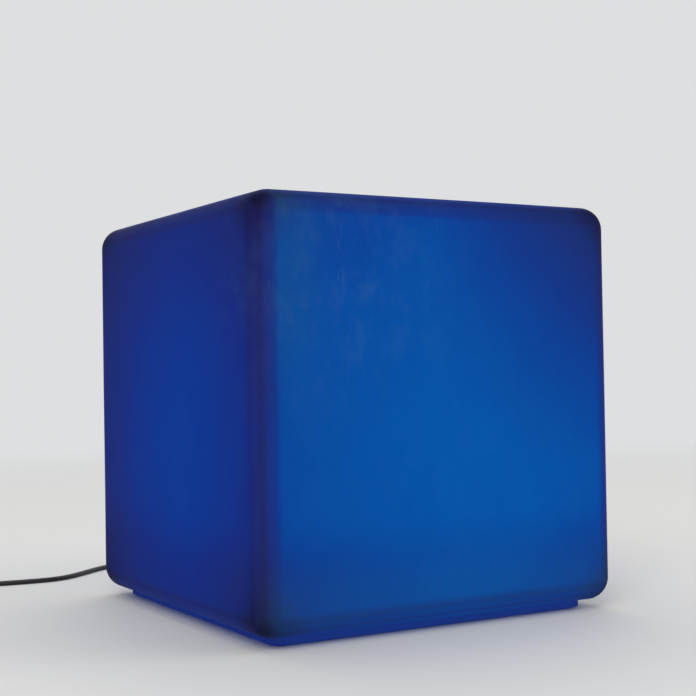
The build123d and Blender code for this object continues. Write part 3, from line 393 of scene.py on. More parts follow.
def show_in_place(piece, material, body, slot_name, *stands_for):
    """Gives a new piece its material and its body, and hides the CAD pieces that it stands for. Its slot name
    is not used.
    """
    piece.data.materials.clear()
    piece.data.materials.append(material)
    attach(piece, body)
    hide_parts(*stands_for)


above = TIE_CORNER_R + 1.1 * TIE_T
strap_line = [Vector((left + 1.2 * TIE_CORNER_R, 0, top))]
strap_line += corner_arc(right - TIE_CORNER_R, top - TIE_CORNER_R, TIE_CORNER_R, 90)
strap_line += corner_arc(right - TIE_CORNER_R, bottom + TIE_CORNER_R, TIE_CORNER_R, 0)
strap_line += corner_arc(left + TIE_CORNER_R, bottom + TIE_CORNER_R, TIE_CORNER_R, -90)
strap_line += corner_arc(left + TIE_CORNER_R, top - TIE_CORNER_R, above, 180)
strap_line.append(strap_line[-1] + Vector((0.6 * TIE_OVERLAP, 0, 0)))
strap_line.append(strap_line[-1] + Vector((0.4 * TIE_OVERLAP, 0, TIE_LIFT)))
widths = [1.0] * len(strap_line)
for step, share in ROUNDED_END:
    strap_line.append(strap_line[-1] + Vector((step, 0, 0.1 * step)))
    widths.append(share)

bpy.ops.object.select_all(action="DESELECT")
bpy.ops.mesh.primitive_plane_add(size=TIE_W, location=(0, 0, 0))
strap = bpy.context.object
strap.name = "cord_tie_strap"
bpy.ops.object.mode_set(mode="EDIT")
bpy.ops.mesh.select_mode(type="VERT")
bpy.ops.mesh.select_all(action="DESELECT")
mesh = bmesh.from_edit_mesh(strap.data)
for vertex in mesh.verts:
    vertex.select = vertex.co.x < 0
mesh.select_flush_mode()
bpy.ops.mesh.delete(type="VERT")
bpy.ops.mesh.select_all(action="SELECT")
tie_y = (tie_low.y + tie_high.y) / 2
bpy.ops.transform.translate(value=strap_line[0] + Vector((-TIE_W / 2, tie_y, 0)))
narrowed = 1.0
for before, after, width in zip(strap_line, strap_line[1:], widths[1:]):
    bpy.ops.mesh.extrude_region_move(TRANSFORM_OT_translate={"value": after - before})
    if width != narrowed:
        pivot = after + Vector((0, tie_y, 0))
        bpy.ops.transform.resize(value=(1, width / narrowed, 1), center_override=pivot)
        narrowed = width
bpy.ops.object.mode_set(mode="OBJECT")
thick = strap.modifiers.new("thickness", "SOLIDIFY")
thick.thickness = TIE_T
thick.offset = 0.0
soft = strap.modifiers.new("soft", "BEVEL")
soft.width = TIE_EDGE_R
soft.segments = 2
soft.angle_limit = math.radians(50)
select_only(strap)
for change in ("thickness", "soft"):
    bpy.ops.object.modifier_apply(modifier=change)
tidy_skin(strap)

tape, tree, shader = new_material("hook_and_loop_tape", roughness=0.9, specular=0.2)
place, _ = on_surface(tree)
x, y, z = xyz(tree, place)
across = sums(tree, "ABSOLUTE", minus(tree, y, tie_y))
selvedge = sums(tree, "GREATER_THAN", across, 0.42 * TIE_W)
ribs = sums(tree, "SINE", times(tree, y, RIB_PITCH))
picks = sums(tree, "SINE", times(tree, sums(tree, "ADD", x, z), PICK_PITCH))
weave = sums(tree, "ABSOLUTE", times(tree, ribs, picks))
loops = mottle(tree, place, 2600.0, detail=3.0)
fuzz = sums(tree, "ADD", times(tree, selvedge, weave), loops)
shade = blended(tree, eased(tree, fuzz, 0.2, 1.2), colour(12, 12, 13), colour(52, 52, 56))
lint = eased(tree, mottle(tree, place, 900.0, detail=4.0), 0.62, 0.72, 0.0, 0.4)
feed(tree, blended(tree, lint, shade, colour(120, 118, 114)), shader.inputs["Base Color"])
bump(tree, shader, fuzz, 0.9, 0.0003)
show_in_place(strap, tape, "cube", "tie_black", "cord_tie")


# ---------------------------------------------------------------- floor, lamps and surroundings
# A plain pale floor under plain soft light. Far from the object it runs into the equally pale
# surroundings, and it is seen through from below, so that the underside can be looked at.
FLOOR_SIZE = 120.0
FLOOR_COLOUR = colour(214, 214, 212)
BACKGROUND = colour(222, 223, 224)
FADE_NEAR = 0.9
FADE_FAR = 3.2
SOFT_LIGHT = 0.66
LAMPS = {  # place, side in metres and power in watts
    "key_lamp": ((-2.3, -2.6, 2.6), 2.0, 60.0),
    "fill_lamp": ((2.9, -1.9, 1.7), 2.2, 30.0),
    "top_lamp": ((0.3, 1.2, 3.0), 2.4, 26.0),
}
LIT_AT = Vector((0.0, 0.0, 0.2))


def mixed_shaders(tree, share, first, second):
    """Two shaders mixed."""
    node = add_node(tree, "ShaderNodeMixShader")
    feed(tree, share, node.inputs["Fac"])
    feed(tree, first, node.inputs[1])
    feed(tree, second, node.inputs[2])
    return node.outputs["Shader"]


bpy.ops.object.select_all(action="DESELECT")
bpy.ops.mesh.primitive_plane_add(size=FLOOR_SIZE, location=(0, 0, 0))
floor = bpy.context.object
floor.name = "floor"
floor_finish, tree, shader = new_material("pale_floor", roughness=0.7, specular=0.2)
shader.inputs["Base Color"].default_value = FLOOR_COLOUR
where = add_node(tree, "ShaderNodeNewGeometry")
clear = add_node(tree, "ShaderNodeBsdfTransparent")
far = add_node(tree, "ShaderNodeEmission")
far.inputs["Color"].default_value = BACKGROUND
out = vectors(tree, "LENGTH", where.outputs["Position"])
ray = add_node(tree, "ShaderNodeLightPath")
seen_far = times(tree, eased(tree, out, FADE_NEAR, FADE_FAR), ray.outputs["Is Camera Ray"])
lit = mixed_shaders(tree, seen_far, shader.outputs["BSDF"], far.outputs["Emission"])
whole = mixed_shaders(tree, where.outputs["Backfacing"], lit, clear.outputs["BSDF"])
feed(tree, whole, tree.nodes["Material Output"].inputs["Surface"])
floor.data.materials.append(floor_finish)

for name, (place, size, power) in LAMPS.items():
    lamp = bpy.data.lights.new(name, "AREA")
    lamp.shape = "SQUARE"
    lamp.size = size
    lamp.energy = power
    holder = bpy.data.objects.new(name, lamp)
    scene.collection.objects.link(holder)
    holder.location = place
    holder.rotation_mode = "QUATERNION"
    holder.rotation_quaternion = (LIT_AT - Vector(place)).to_track_quat("-Z", "Y")

world = bpy.data.worlds.new("surroundings")
scene.world = world
world.use_nodes = True
tree = world.node_tree
soft = tree.nodes["Background"]
soft.inputs["Color"].default_value = (1, 1, 1, 1)
soft.inputs["Strength"].default_value = SOFT_LIGHT
pale = add_node(tree, "ShaderNodeBackground")
pale.inputs["Color"].default_value = BACKGROUND
ray = add_node(tree, "ShaderNodeLightPath")
seen = sums(tree, "MAXIMUM", ray.outputs["Is Glossy Ray"], ray.outputs["Is Transmission Ray"])
seen = sums(tree, "MAXIMUM", seen, ray.outputs["Is Camera Ray"])
around_all = mixed_shaders(tree, seen, soft.outputs["Background"], pale.outputs["Background"])
feed(tree, around_all, tree.nodes["World Output"].inputs["Surface"])


# ---------------------------------------------------------------- shell
# One rotationally moulded polyethylene shell, 4.5 mm thick: a cube with soft edges on an inset
# plinth, with a round well for the lamp module in its underside, a slot for the cord and four
# pockets for the feet. Its faces bow out a little, as such mouldings do when they cool.
SIDE = 0.400
BODY_LOW = 0.009
BODY_HIGH = 0.404
EDGE_R = 0.023
WALL = 0.0045
BOW = 0.0008
UNEVEN = 0.00012
FACE_CUTS = 19
PLINTH = 0.349
PLINTH_R = 0.012
PLINTH_LOW = 0.0015
PLINTH_LIP = 0.0015
WELL_R = 0.100
WELL_SIDES = 128
WELL_TOP = 0.017
WELL_FILLET = 0.003
OPENING_R = 0.072
OPENING_SIDES = 96
SLOT_W = 0.011
SLOT_ENDS = (0.0955, 0.2255)
SLOT_TOP = 0.0115
FOOT_R = 0.0091
FOOT_TOP = 0.0028
FOOT_AT = 0.154
FOOT_SIDES = 40
SCREWS = 6
INSERT_R = 0.0035
INSERT_LENGTH = 0.009
SCREW_CIRCLE = 0.084
INSERT_SIDES = 24
BOSS_R = 0.0075
BOSS_CAP = 0.002
PAST = 0.001  # how far a cutting shape runs past the face that it cuts


def settle(piece):
    """Puts the object's own place, turn and scale into its mesh."""
    select_only(piece)
    bpy.ops.object.transform_apply(location=True, rotation=True, scale=True)
    return piece


def add_block(name, size, low, high, x=0.0, y=0.0):
    """An upright block between two heights."""
    bpy.ops.object.select_all(action="DESELECT")
    bpy.ops.mesh.primitive_cube_add(size=1, location=(x, y, (low + high) / 2), scale=(*size, high - low))
    piece = bpy.context.object
    piece.name = name
    return settle(piece)


def add_rod(name, radius, low, high, x=0.0, y=0.0, sides=64):
    """An upright cylinder between two heights."""
    bpy.ops.object.select_all(action="DESELECT")
    bpy.ops.mesh.primitive_cylinder_add(
        vertices=sides, radius=radius, depth=high - low, location=(x, y, (low + high) / 2)
    )
    piece = bpy.context.object
    piece.name = name
    return settle(piece)


def pick_edges(piece, wanted):
    """In edit mode, selects the edges whose two ends pass a test, and no others."""
    bpy.ops.mesh.select_all(action="DESELECT")
    bpy.ops.mesh.select_mode(type="EDGE")
    mesh = bmesh.from_edit_mesh(piece.data)
    for edge in mesh.edges:
        edge.select = wanted(edge.verts[0].co, edge.verts[1].co)
    mesh.select_flush_mode()
    bmesh.update_edit_mesh(piece.data)


def round_edges(piece, wanted, radius, segments):
    """Rounds the edges that pass a test."""
    select_only(piece)
    bpy.ops.object.mode_set(mode="EDIT")
    pick_edges(piece, wanted)
    bpy.ops.mesh.bevel(offset=radius, segments=segments, affect="EDGES", clamp_overlap=False)
    bpy.ops.object.mode_set(mode="OBJECT")
    return piece


def upright(a, b):
    """Whether an edge stands upright."""
    return abs(a.z - b.z) > 1e-5 and (a - b).xy.length < 1e-6


def level_at(height):
    """A test for the edges that lie level at a height."""
    return lambda a, b: abs(a.z - height) < 1e-6 and abs(b.z - height) < 1e-6


def combine(piece, tool, operation):
    """Joins a shape to a piece or cuts it from it, and removes the shape."""
    change = piece.modifiers.new("shape", "BOOLEAN")
    change.operation = operation
    change.solver = "EXACT"
    change.object = tool
    select_only(piece)
    bpy.ops.object.modifier_apply(modifier=change.name)
    bpy.data.objects.remove(tool)
    return piece


def soft_box(name, side, low, high, radius, segments):
    """A box with all its edges rounded and its faces divided evenly."""
    box = add_block(name, (side, side), low, high)
    round_edges(box, lambda a, b: True, radius, segments)
    bpy.ops.object.mode_set(mode="EDIT")
    pick_edges(box, lambda a, b: (a - b).length > side / 2)
    bpy.ops.mesh.subdivide(number_cuts=FACE_CUTS)
    bpy.ops.object.mode_set(mode="OBJECT")
    return box


def around(count, radius):
    """Evenly spaced places on a circle."""
    angles = [2 * math.pi * k / count for k in range(count)]
    return [(radius * math.cos(angle), radius * math.sin(angle)) for angle in angles]


shell = soft_box("cube_shell_moulding", SIDE, BODY_LOW, BODY_HIGH, EDGE_R, 10)
middle = Vector((0, 0, (BODY_LOW + BODY_HIGH) / 2))
half = Vector((SIDE / 2, SIDE / 2, (BODY_HIGH - BODY_LOW) / 2))
for vertex in shell.data.vertices:
    part = [(vertex.co[k] - middle[k]) / half[k] for k in range(3)]
    for k in range(3):
        u, v = part[k - 1], part[k - 2]
        drawn_in = BOW * (1 - (1 - u * u) * (1 - v * v))
        drawn_in += UNEVEN * (1 + noise.noise(vertex.co * 11 + Vector((k, 0, 0))))
        if k < 2 or part[k] > 0:
            vertex.co[k] -= part[k] * drawn_in

plinth = add_block("plinth", (PLINTH, PLINTH), PLINTH_LOW, BODY_LOW + WALL)
round_edges(plinth, upright, PLINTH_R, 8)
round_edges(plinth, level_at(PLINTH_LOW), PLINTH_LIP, 3)
combine(shell, plinth, "UNION")

hollow = soft_box("hollow", SIDE - 2 * WALL, BODY_LOW + WALL, BODY_HIGH - WALL, EDGE_R - WALL, 4)
low_hollow = add_block("low_hollow", (PLINTH - 2 * WALL,) * 2, PLINTH_LOW + WALL, SIDE / 4)
combine(hollow, round_edges(low_hollow, upright, PLINTH_R - WALL, 4), "UNION")
well_wall = add_rod("well_wall", WELL_R + WALL, 0, WELL_TOP + WALL, sides=WELL_SIDES)
combine(hollow, well_wall, "DIFFERENCE")
slot_wall = add_block("slot_wall", (SLOT_W + 2 * WALL, WELL_R), 0, SLOT_TOP + WALL, 0, 1.45 * WELL_R)
combine(hollow, slot_wall, "DIFFERENCE")
for x, y in around(SCREWS, SCREW_CIRCLE):
    boss = add_rod("boss", BOSS_R, WELL_TOP, WELL_TOP + INSERT_LENGTH + BOSS_CAP, x, y, INSERT_SIDES)
    combine(hollow, boss, "DIFFERENCE")
combine(shell, hollow, "DIFFERENCE")

well = add_rod("well", WELL_R, -PAST, WELL_TOP, sides=WELL_SIDES)
combine(shell, round_edges(well, level_at(WELL_TOP), WELL_FILLET, 4), "DIFFERENCE")
slot_size = (SLOT_W, SLOT_ENDS[1] - SLOT_ENDS[0])
slot = add_block("slot", slot_size, -PAST, SLOT_TOP, 0, sum(SLOT_ENDS) / 2)
slot_top = lambda a, b: min(a.z, b.z) > 0 and abs(a.x - b.x) < 1e-6 and abs(a.y - b.y) > SLOT_W
combine(shell, round_edges(slot, slot_top, WELL_FILLET, 4), "DIFFERENCE")
opening = add_rod("opening", OPENING_R, WELL_TOP - PAST, WELL_TOP + 2 * WALL, sides=OPENING_SIDES)
combine(shell, opening, "DIFFERENCE")
for x, y in around(SCREWS, SCREW_CIRCLE):
    bore = add_rod("bore", INSERT_R, WELL_TOP - PAST, WELL_TOP + INSERT_LENGTH, x, y, INSERT_SIDES)
    combine(shell, bore, "DIFFERENCE")
for x in (-FOOT_AT, FOOT_AT):
    for y in (-FOOT_AT, FOOT_AT):
        combine(shell, add_rod("pocket", FOOT_R, 0, FOOT_TOP, x, y, FOOT_SIDES), "DIFFERENCE")
select_only(shell)
bpy.ops.object.shade_smooth_by_angle(angle=math.radians(32))


def graded(tree, value, stops):
    """A colour ramp through stops of (position, colour)."""
    node = add_node(tree, "ShaderNodeValToRGB")
    ramp = node.color_ramp
    while len(ramp.elements) < len(stops):
        ramp.elements.new(0.5)
    for element, (position, shade) in zip(ramp.elements, stops):
        element.position = position
        element.color = shade
    feed(tree, value, node.inputs["Fac"])
    return node.outputs["Color"]


# The plastic is milky and lit blue from inside. It is azure where most light comes through, which
# is low in the middle of the wide faces, and turns to violet and navy where less does, towards the
# rims. The narrow faces and the rounded edges are darker and more violet still: painted shade for
# the wall seen on the slant from the camera's side, fixed on the surface.
# The glow counts from 0 to 1, and each pair of faces has its own shades for it.
WIDE_SHADES = [
    (0.00, colour(3, 3, 12)),
    (0.32, colour(19, 22, 54)),
    (0.50, colour(26, 35, 84)),
    (0.70, colour(27, 48, 118)),
    (0.82, colour(20, 56, 139)),
    (0.90, colour(12, 68, 153)),
    (1.00, colour(6, 86, 170)),
]
# the narrow faces' shades, darker and more violet: painted shade for their slant
NARROW_PAINTED_SHADES = [
    (0.00, colour(3, 3, 12)),
    (0.32, colour(18, 20, 54)),
    (0.50, colour(25, 31, 84)),
    (0.67, colour(26, 40, 114)),
    (0.77, colour(20, 44, 131)),
    (0.86, colour(8, 54, 148)),
    (1.00, colour(8, 80, 168)),
]
HOT_SPOT = (0.030, -0.030, 0.170)
# the narrow faces' lower peak is painted shade for their slant
PEAK = (0.870, 1.000, 0.940)  # of the narrow faces, the wide ones and the top
FALL_ALONG = (2.06, 4.41)  # per square metre from the hot spot, along the wide and the narrow faces
FALL_UP = (3.27, 1.62)  # the same upwards, on the narrow and on the wide faces
DIM_CORNER = 5.3  # how much darker the wide faces are to the right of and above a place
DIM_FROM = (-0.020, 0.150)
DIM_FOOT = (0.055, 0.115, 0.045, 0.0)  # heights, and how much darker it is at each
FOOT_CORNERS = 35.0  # how much more so towards the corners
# painted shade: the glow's share over the roundings, lower where the wall is seen on the slant; the first
# number is 1 on faces, 0.5 on edges, 0.333 at corners
EDGE_PAINTED_SHADE = [(0.333, 0.60), (0.36, 0.65), (0.5, 0.76), (0.523, 0.80), (0.6, 0.86), (0.906, 0.90)]
UNDERSIDE = (-0.95, -0.45, 0.95, 1.0)  # upward parts of the facing, and the glow's share at each
# painted light: the glow is raised on the downward-facing lower edge, to make up for the shade that the floor
# and the body put there
LOW_EDGE_PAINTED_LIFT = (-0.80, -0.30, 1.28, 1.0)
# painted shade round each of the body's eight corners, for the wall seen on the slant
CORNER_PAINTED_SHADE = 0.22  # round each of the body's eight corners
CORNER_REACH = 0.062
CLOUDS = ((9.0, (1, 1, 1), 0.05), (60.0, (1, 1, 0.5), 0.03))  # scale, stretch and strength
# a painted violet rim on the upright edges, for the wall seen on the slant
PAINTED_EDGE_VIOLET = colour(70, 44, 112)  # a cast on the upright edges
PAINTED_EDGE_VIOLET_SHARE = 0.34
TEAL = colour(40, 118, 136)  # a cast on the wide faces, by their left edge and by the floor
TEAL_BESIDE = (-0.172, -0.110, 0.13, 0.0)
TEAL_EDGE = (-0.184, -0.175)
TEAL_ABOVE = (0.16, 0.32)
TEAL_BELOW = (0.030, 0.095, 0.10, 0.0)
PLINTH_BLUE = colour(31, 52, 138)
PLINTH_SHARE = 0.75
OWN_LIGHT = 0.60
SKIN_SHARE = 0.38

shell_finish, tree, shader = new_material("lit_polyethylene", specular=0.005)
place, normal = on_surface(tree)
x, y, z = xyz(tree, place)
weights = vectors(tree, "MULTIPLY", normal, normal)
narrow, wide, level_up = xyz(tree, weights)

from_spot = vectors(tree, "SUBTRACT", place, HOT_SPOT)
from_spot = vectors(tree, "MULTIPLY", from_spot, from_spot)
fall_x = times(tree, minus(tree, 1.0, narrow), FALL_ALONG[0])
fall_y = times(tree, narrow, FALL_ALONG[1])
fall_y = sums(tree, "MULTIPLY_ADD", level_up, FALL_ALONG[0], fall_y)
fall_z = sums(tree, "MULTIPLY_ADD", narrow, FALL_UP[0] - FALL_UP[1], FALL_UP[1])
fall = add_node(tree, "ShaderNodeCombineXYZ")
for value, socket in zip((fall_x, fall_y, fall_z), fall.inputs):
    feed(tree, value, socket)
# painted shade: the narrow faces start from a lower peak
glow = vectors(tree, "DOT_PRODUCT", weights, PEAK)
glow = minus(tree, glow, vectors(tree, "DOT_PRODUCT", from_spot, fall.outputs["Vector"]))

right = sums(tree, "MAXIMUM", minus(tree, x, DIM_FROM[0]), 0.0)
high = sums(tree, "MAXIMUM", minus(tree, z, DIM_FROM[1]), 0.0)
corner = times(tree, times(tree, right, high), DIM_CORNER)
glow = minus(tree, glow, times(tree, corner, wide))
off_middle = sums(tree, "ADD", times(tree, x, x), times(tree, y, y))
off_middle = minus(tree, off_middle, SIDE * SIDE / 4)
off_middle = sums(tree, "MULTIPLY_ADD", sums(tree, "MAXIMUM", off_middle, 0.0), FOOT_CORNERS, 1.0)
glow = minus(tree, glow, times(tree, eased(tree, z, *DIM_FOOT), off_middle))

# painted shade on the roundings, from the curve above
edge = add_node(tree, "ShaderNodeFloatCurve")
curve = edge.mapping.curves[0]
for place_on, share in EDGE_PAINTED_SHADE:
    curve.points.new(place_on, share)
edge.mapping.update()
feed(tree, vectors(tree, "DOT_PRODUCT", weights, weights), edge.inputs["Value"])
glow = times(tree, glow, edge.outputs["Value"])
# painted shade round the body's corners
to_corner = vectors(tree, "ABSOLUTE", vectors(tree, "SUBTRACT", place, middle))
to_corner = vectors(tree, "LENGTH", vectors(tree, "SUBTRACT", to_corner, half))
glow = minus(tree, glow, eased(tree, to_corner, 0.0, CORNER_REACH, CORNER_PAINTED_SHADE, 0.0))
up = xyz(tree, normal)["Z"]
glow = times(tree, glow, eased(tree, up, *UNDERSIDE))
# painted light on the downward-facing lower edge
glow = times(tree, glow, eased(tree, up, *LOW_EDGE_PAINTED_LIFT))
for size, stretch, strength in CLOUDS:
    cloud = minus(tree, mottle(tree, place, size, stretch, 3.0), 0.5)
    glow = sums(tree, "MULTIPLY_ADD", cloud, strength, glow)
# the narrow faces take their darker, more violet painted shade
shade = blended(tree, narrow, graded(tree, glow, WIDE_SHADES), graded(tree, glow, NARROW_PAINTED_SHADES))
# the painted violet rim on the upright edges
painted_rim = times(tree, times(tree, narrow, wide), PAINTED_EDGE_VIOLET_SHARE)
shade = blended(tree, painted_rim, shade, PAINTED_EDGE_VIOLET)
beside_edge = times(tree, eased(tree, x, *TEAL_BESIDE), eased(tree, x, *TEAL_EDGE))
beside_edge = times(tree, beside_edge, eased(tree, z, *TEAL_ABOVE))
teal = sums(tree, "MAXIMUM", beside_edge, eased(tree, z, *TEAL_BELOW))
shade = blended(tree, times(tree, teal, wide), shade, TEAL)
on_plinth = eased(tree, z, BODY_LOW, BODY_LOW + PLINTH_LIP, PLINTH_SHARE, 0.0)
shade = blended(tree, on_plinth, shade, PLINTH_BLUE)

# frosty patches and fine upright streaks, paler and mixed into the glow as well, most of them high on the
# front's near side
HAZE = colour(84, 120, 150)
HAZE_AT = (-0.115, -0.2, 0.335)
HAZE_FADE = (0.02, 0.17, 1.0, 0.12)  # distances from there, and its share at each
PATCH_STRENGTH = 0.08
MARK_STRENGTH = 0.21
away = vectors(tree, "LENGTH", vectors(tree, "SUBTRACT", place, HAZE_AT))
near = eased(tree, away, *HAZE_FADE)
patches = eased(tree, mottle(tree, place, 48.0, (1, 1, 0.7), 5.0, 0.65), 0.45, 0.68)
streaks = eased(tree, mottle(tree, place, 420.0, (1, 1, 0.035), 2.0), 0.60, 0.78)
ends = eased(tree, mottle(tree, place, 60.0), 0.52, 0.60)
specks = eased(tree, mottle(tree, place, 340.0, detail=1.0), 0.80, 0.84)
marks = sums(tree, "MULTIPLY_ADD", streaks, ends, specks)
mist = sums(tree, "MULTIPLY_ADD", marks, MARK_STRENGTH, times(tree, patches, PATCH_STRENGTH))
shade = blended(tree, times(tree, mist, near), shade, HAZE)

feed(tree, blended(tree, SKIN_SHARE, (0, 0, 0, 1), shade), shader.inputs["Base Color"])
feed(tree, shade, shader.inputs["Emission Color"])
shader.inputs["Emission Strength"].default_value = OWN_LIGHT
feed(tree, eased(tree, patches, 0.0, 1.0, 0.40, 0.50), shader.inputs["Roughness"])
peel = sums(tree, "MULTIPLY_ADD", marks, 0.3, mottle(tree, place, 260.0))
bump(tree, shader, peel, 0.15, 0.0003)
show_in_place(shell, shell_finish, "cube", "shell", "cube_shell")


# ---------------------------------------------------------------- feet and inserts
# Four dished pads of black rubber pressed into the plinth's pockets, and six brass inserts that
# were put in the mould, so that the plastic holds their grooves.


def finish(material, *names):
    """Gives CAD pieces their material."""
    for name in names:
        for slot in nodes[name].material_slots:
            slot.material = material


foot_rubber = moulded("foot_rubber", colour(30, 30, 31), 0.72, 1300.0, 0.35, 0.0001, dust=0.2)
finish(foot_rubber, "rubber_feet")

# a metal piece's surface: fine marks drawn out one way, and faint stains
drawn_metal, inward, outward = new_group(
    "drawn_metal",
    {"Tint": (0.6, 0.6, 0.6, 1.0), "Marks": 1800.0, "Stain": 0.2, "Roughness": 0.3},
    "Color", "Roughness", "Height",
)
tree = drawn_metal
place, _ = on_surface(tree)
drawn = vectors(tree, "MULTIPLY", place, (1.0, 0.06, 0.5))
marks = grain_noise(tree, drawn, inward.outputs["Marks"], 3.0)
stain = eased(tree, mottle(tree, place, 120.0, detail=4.0), 0.35, 0.7)
darker = times(tree, stain, inward.outputs["Stain"])
shown = minus(tree, sums(tree, "MULTIPLY_ADD", marks, 0.2, 0.9), darker)
tinted = vectors(tree, "SCALE", inward.outputs["Tint"])
feed(tree, shown, tinted.node.inputs["Scale"])
rough = sums(tree, "ADD", inward.outputs["Roughness"], times(tree, darker, 0.6))
rough = sums(tree, "ADD", rough, times(tree, marks, 0.1))
give_out(tree, outward, tinted, rough, marks)


def metal(name, tint, roughness=0.3, marks=1800.0, stain=0.2, depth=0.00002):
    """A bare or plated metal."""
    made, tree, shader = new_material(name, metallic=1.0)
    skin = place_group(tree, drawn_metal, Tint=tint, Marks=marks, Stain=stain, Roughness=roughness)
    feed(tree, skin["Color"], shader.inputs["Base Color"])
    feed(tree, skin["Roughness"], shader.inputs["Roughness"])
    bump(tree, shader, skin["Height"], 0.4, depth)
    return made


finish(metal("insert_brass", colour(205, 170, 98), 0.32, stain=0.3), "threaded_inserts")


# ---------------------------------------------------------------- module tray
# The white ABS tray that holds everything electrical: a belly, a flange that six stainless screws
# pull up against a sponge ring in the well, and a cup over it for the light.
tray_abs = moulded("tray_abs", colour(222, 222, 217), 0.48, 1100.0, 0.10, 0.00006)
finish(tray_abs, "module_base")
screw_steel = metal("screw_steel", colour(186, 187, 190), 0.26, 2600.0, 0.15)
finish(screw_steel, "flange_screws", "led_screws", "dome_screws")
finish(screw_steel, "board_screws", "clamp_screws", "terminal_screws")


def cells(tree, place, scale, unevenness=1.0, **settings):
    """How far each point is from the middle of its cell."""
    node = add_node(tree, "ShaderNodeTexVoronoi", **settings)
    node.inputs["Randomness"].default_value = unevenness
    feed(tree, place, node.inputs["Vector"])
    feed(tree, scale, node.inputs["Scale"])
    return node.outputs["Distance"]


sponge, tree, shader = new_material("seal_sponge", roughness=0.85, specular=0.25)
place, _ = on_surface(tree)
# painted shade: the foam is darker in its pores and lighter on the walls between them
depth = eased(tree, cells(tree, place, 1400.0, feature="SMOOTH_F1"), 0.0, 0.6)
feed(tree, blended(tree, depth, colour(14, 14, 15), colour(46, 46, 48)), shader.inputs["Base Color"])
bump(tree, shader, depth, 0.8, 0.0003)
finish(sponge, "flange_seal")


# ---------------------------------------------------------------- light source
# A rolled aluminium disc takes the heat of eighteen colour LEDs on a white metal-core board. A
# milky polycarbonate dome on a silicone ring spreads their light before it reaches the shell.
LED_BLUE = colour(60, 130, 255)
LED_GLOW = (colour(30, 90, 255), colour(110, 170, 255))
LED_STRENGTH = 4.0
RINGS = 125.0  # of track, in a metre
DOME_SHADES = [(0.0, colour(60, 84, 176)), (0.45, colour(84, 138, 226)), (1.0, colour(140, 188, 250))]
DOME_STRENGTH = 0.8

finish(metal("spreader_aluminium", colour(205, 207, 210), 0.36, 900.0, 0.10), "heat_spreader")

board_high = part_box("led_board")[1].z
white_board, tree, shader = new_material("led_board_white", roughness=0.4)
place, _ = on_surface(tree)
flat_place = vectors(tree, "MULTIPLY", place, (1, 1, 0))
rings = sums(tree, "FRACT", times(tree, vectors(tree, "LENGTH", flat_place), RINGS))
rings = sums(tree, "ABSOLUTE", minus(tree, rings, 0.5))
track = eased(tree, rings, 0.16, 0.20, 1.0, 0.0)
breaks = eased(tree, mottle(tree, flat_place, 60.0, detail=0.0), 0.50, 0.52)
track = times(tree, track, breaks)
cut_side = eased(tree, xyz(tree, place)["Z"], board_high - 0.0003, board_high - 0.0001)
shade = blended(tree, track, colour(232, 233, 230), colour(214, 217, 213))
feed(tree, blended(tree, cut_side, colour(170, 172, 175), shade), shader.inputs["Base Color"])
bump(tree, shader, track, 0.6, 0.00003)
finish(white_board, "led_board")

led_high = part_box("leds")[1].z
led_white, tree, shader = new_material("led_body", roughness=0.35)
place, normal = on_surface(tree)
sunk = eased(tree, xyz(tree, place)["Z"], led_high - 0.0002, led_high - 0.0001, 1.0, 0.0)
lit = times(tree, sunk, eased(tree, xyz(tree, normal)["Z"], 0.9, 0.95))
glow = blended(tree, mottle(tree, place, 900.0), *LED_GLOW)
feed(tree, blended(tree, lit, colour(236, 236, 230), LED_BLUE), shader.inputs["Base Color"])
feed(tree, blended(tree, lit, (0, 0, 0, 1), glow), shader.inputs["Emission Color"])
shader.inputs["Emission Strength"].default_value = LED_STRENGTH
finish(led_white, "leds")

dome_low, dome_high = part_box("diffuser_dome")
milky, tree, shader = new_material("dome_polycarbonate", roughness=0.3)
place, _ = on_surface(tree)
height = eased(tree, xyz(tree, place)["Z"], dome_low.z, dome_high.z)
cloud = times(tree, mottle(tree, place, 40.0), 0.2)
glow = graded(tree, sums(tree, "ADD", height, cloud), DOME_SHADES)
feed(tree, glow, shader.inputs["Base Color"])
feed(tree, glow, shader.inputs["Emission Color"])
shader.inputs["Emission Strength"].default_value = DOME_STRENGTH
bump(tree, shader, mottle(tree, place, 700.0), 0.2, 0.00005)
finish(milky, "diffuser_dome")
finish(moulded("dome_silicone", colour(205, 207, 208), 0.6, 700.0, 0.15), "dome_seal")


# ---------------------------------------------------------------- control board
# A green glass-fibre board on four standoffs. It holds the chip that mixes the colours, a power
# transistor for each colour, a filter capacitor, a choke, the cord's terminals and a plug for the
# four wires that go up to the LEDs.

# a circuit board's surface: tracks under the solder mask, tinned pads, and glass fibre at its cut edge
GLASS_FIBRE = colour(146, 154, 104)
TINNED_PAD = colour(190, 192, 190)
RIBBONS = 5.0  # of track in a cell
printed_tracks, inward, outward = new_group(
    "printed_tracks",
    {"Mask Tint": (0.0, 0.2, 0.1, 1.0), "Track Tint": (0.0, 0.3, 0.15, 1.0), "Pitch": 390.0},
    "Color", "Pads", "Height",
)
tree = printed_tracks
place, normal = on_surface(tree)
printed = eased(tree, sums(tree, "ABSOLUTE", xyz(tree, normal)["Z"]), 0.4, 0.6)
pitch = inward.outputs["Pitch"]
squares = cells(tree, place, times(tree, pitch, 0.45), 0.75, feature="F1", distance="CHEBYCHEV")
track = eased(tree, sums(tree, "FRACT", times(tree, squares, RIBBONS)), 0.45, 0.55)
dots = cells(tree, place, pitch, 0.2, feature="F1")
some = eased(tree, mottle(tree, place, 150.0, detail=0.0), 0.54, 0.56)
pads = eased(tree, dots, 0.20, 0.24, 1.0, 0.0)
pads = times(tree, pads, times(tree, some, printed))
under = blended(tree, track, inward.outputs["Mask Tint"], inward.outputs["Track Tint"])
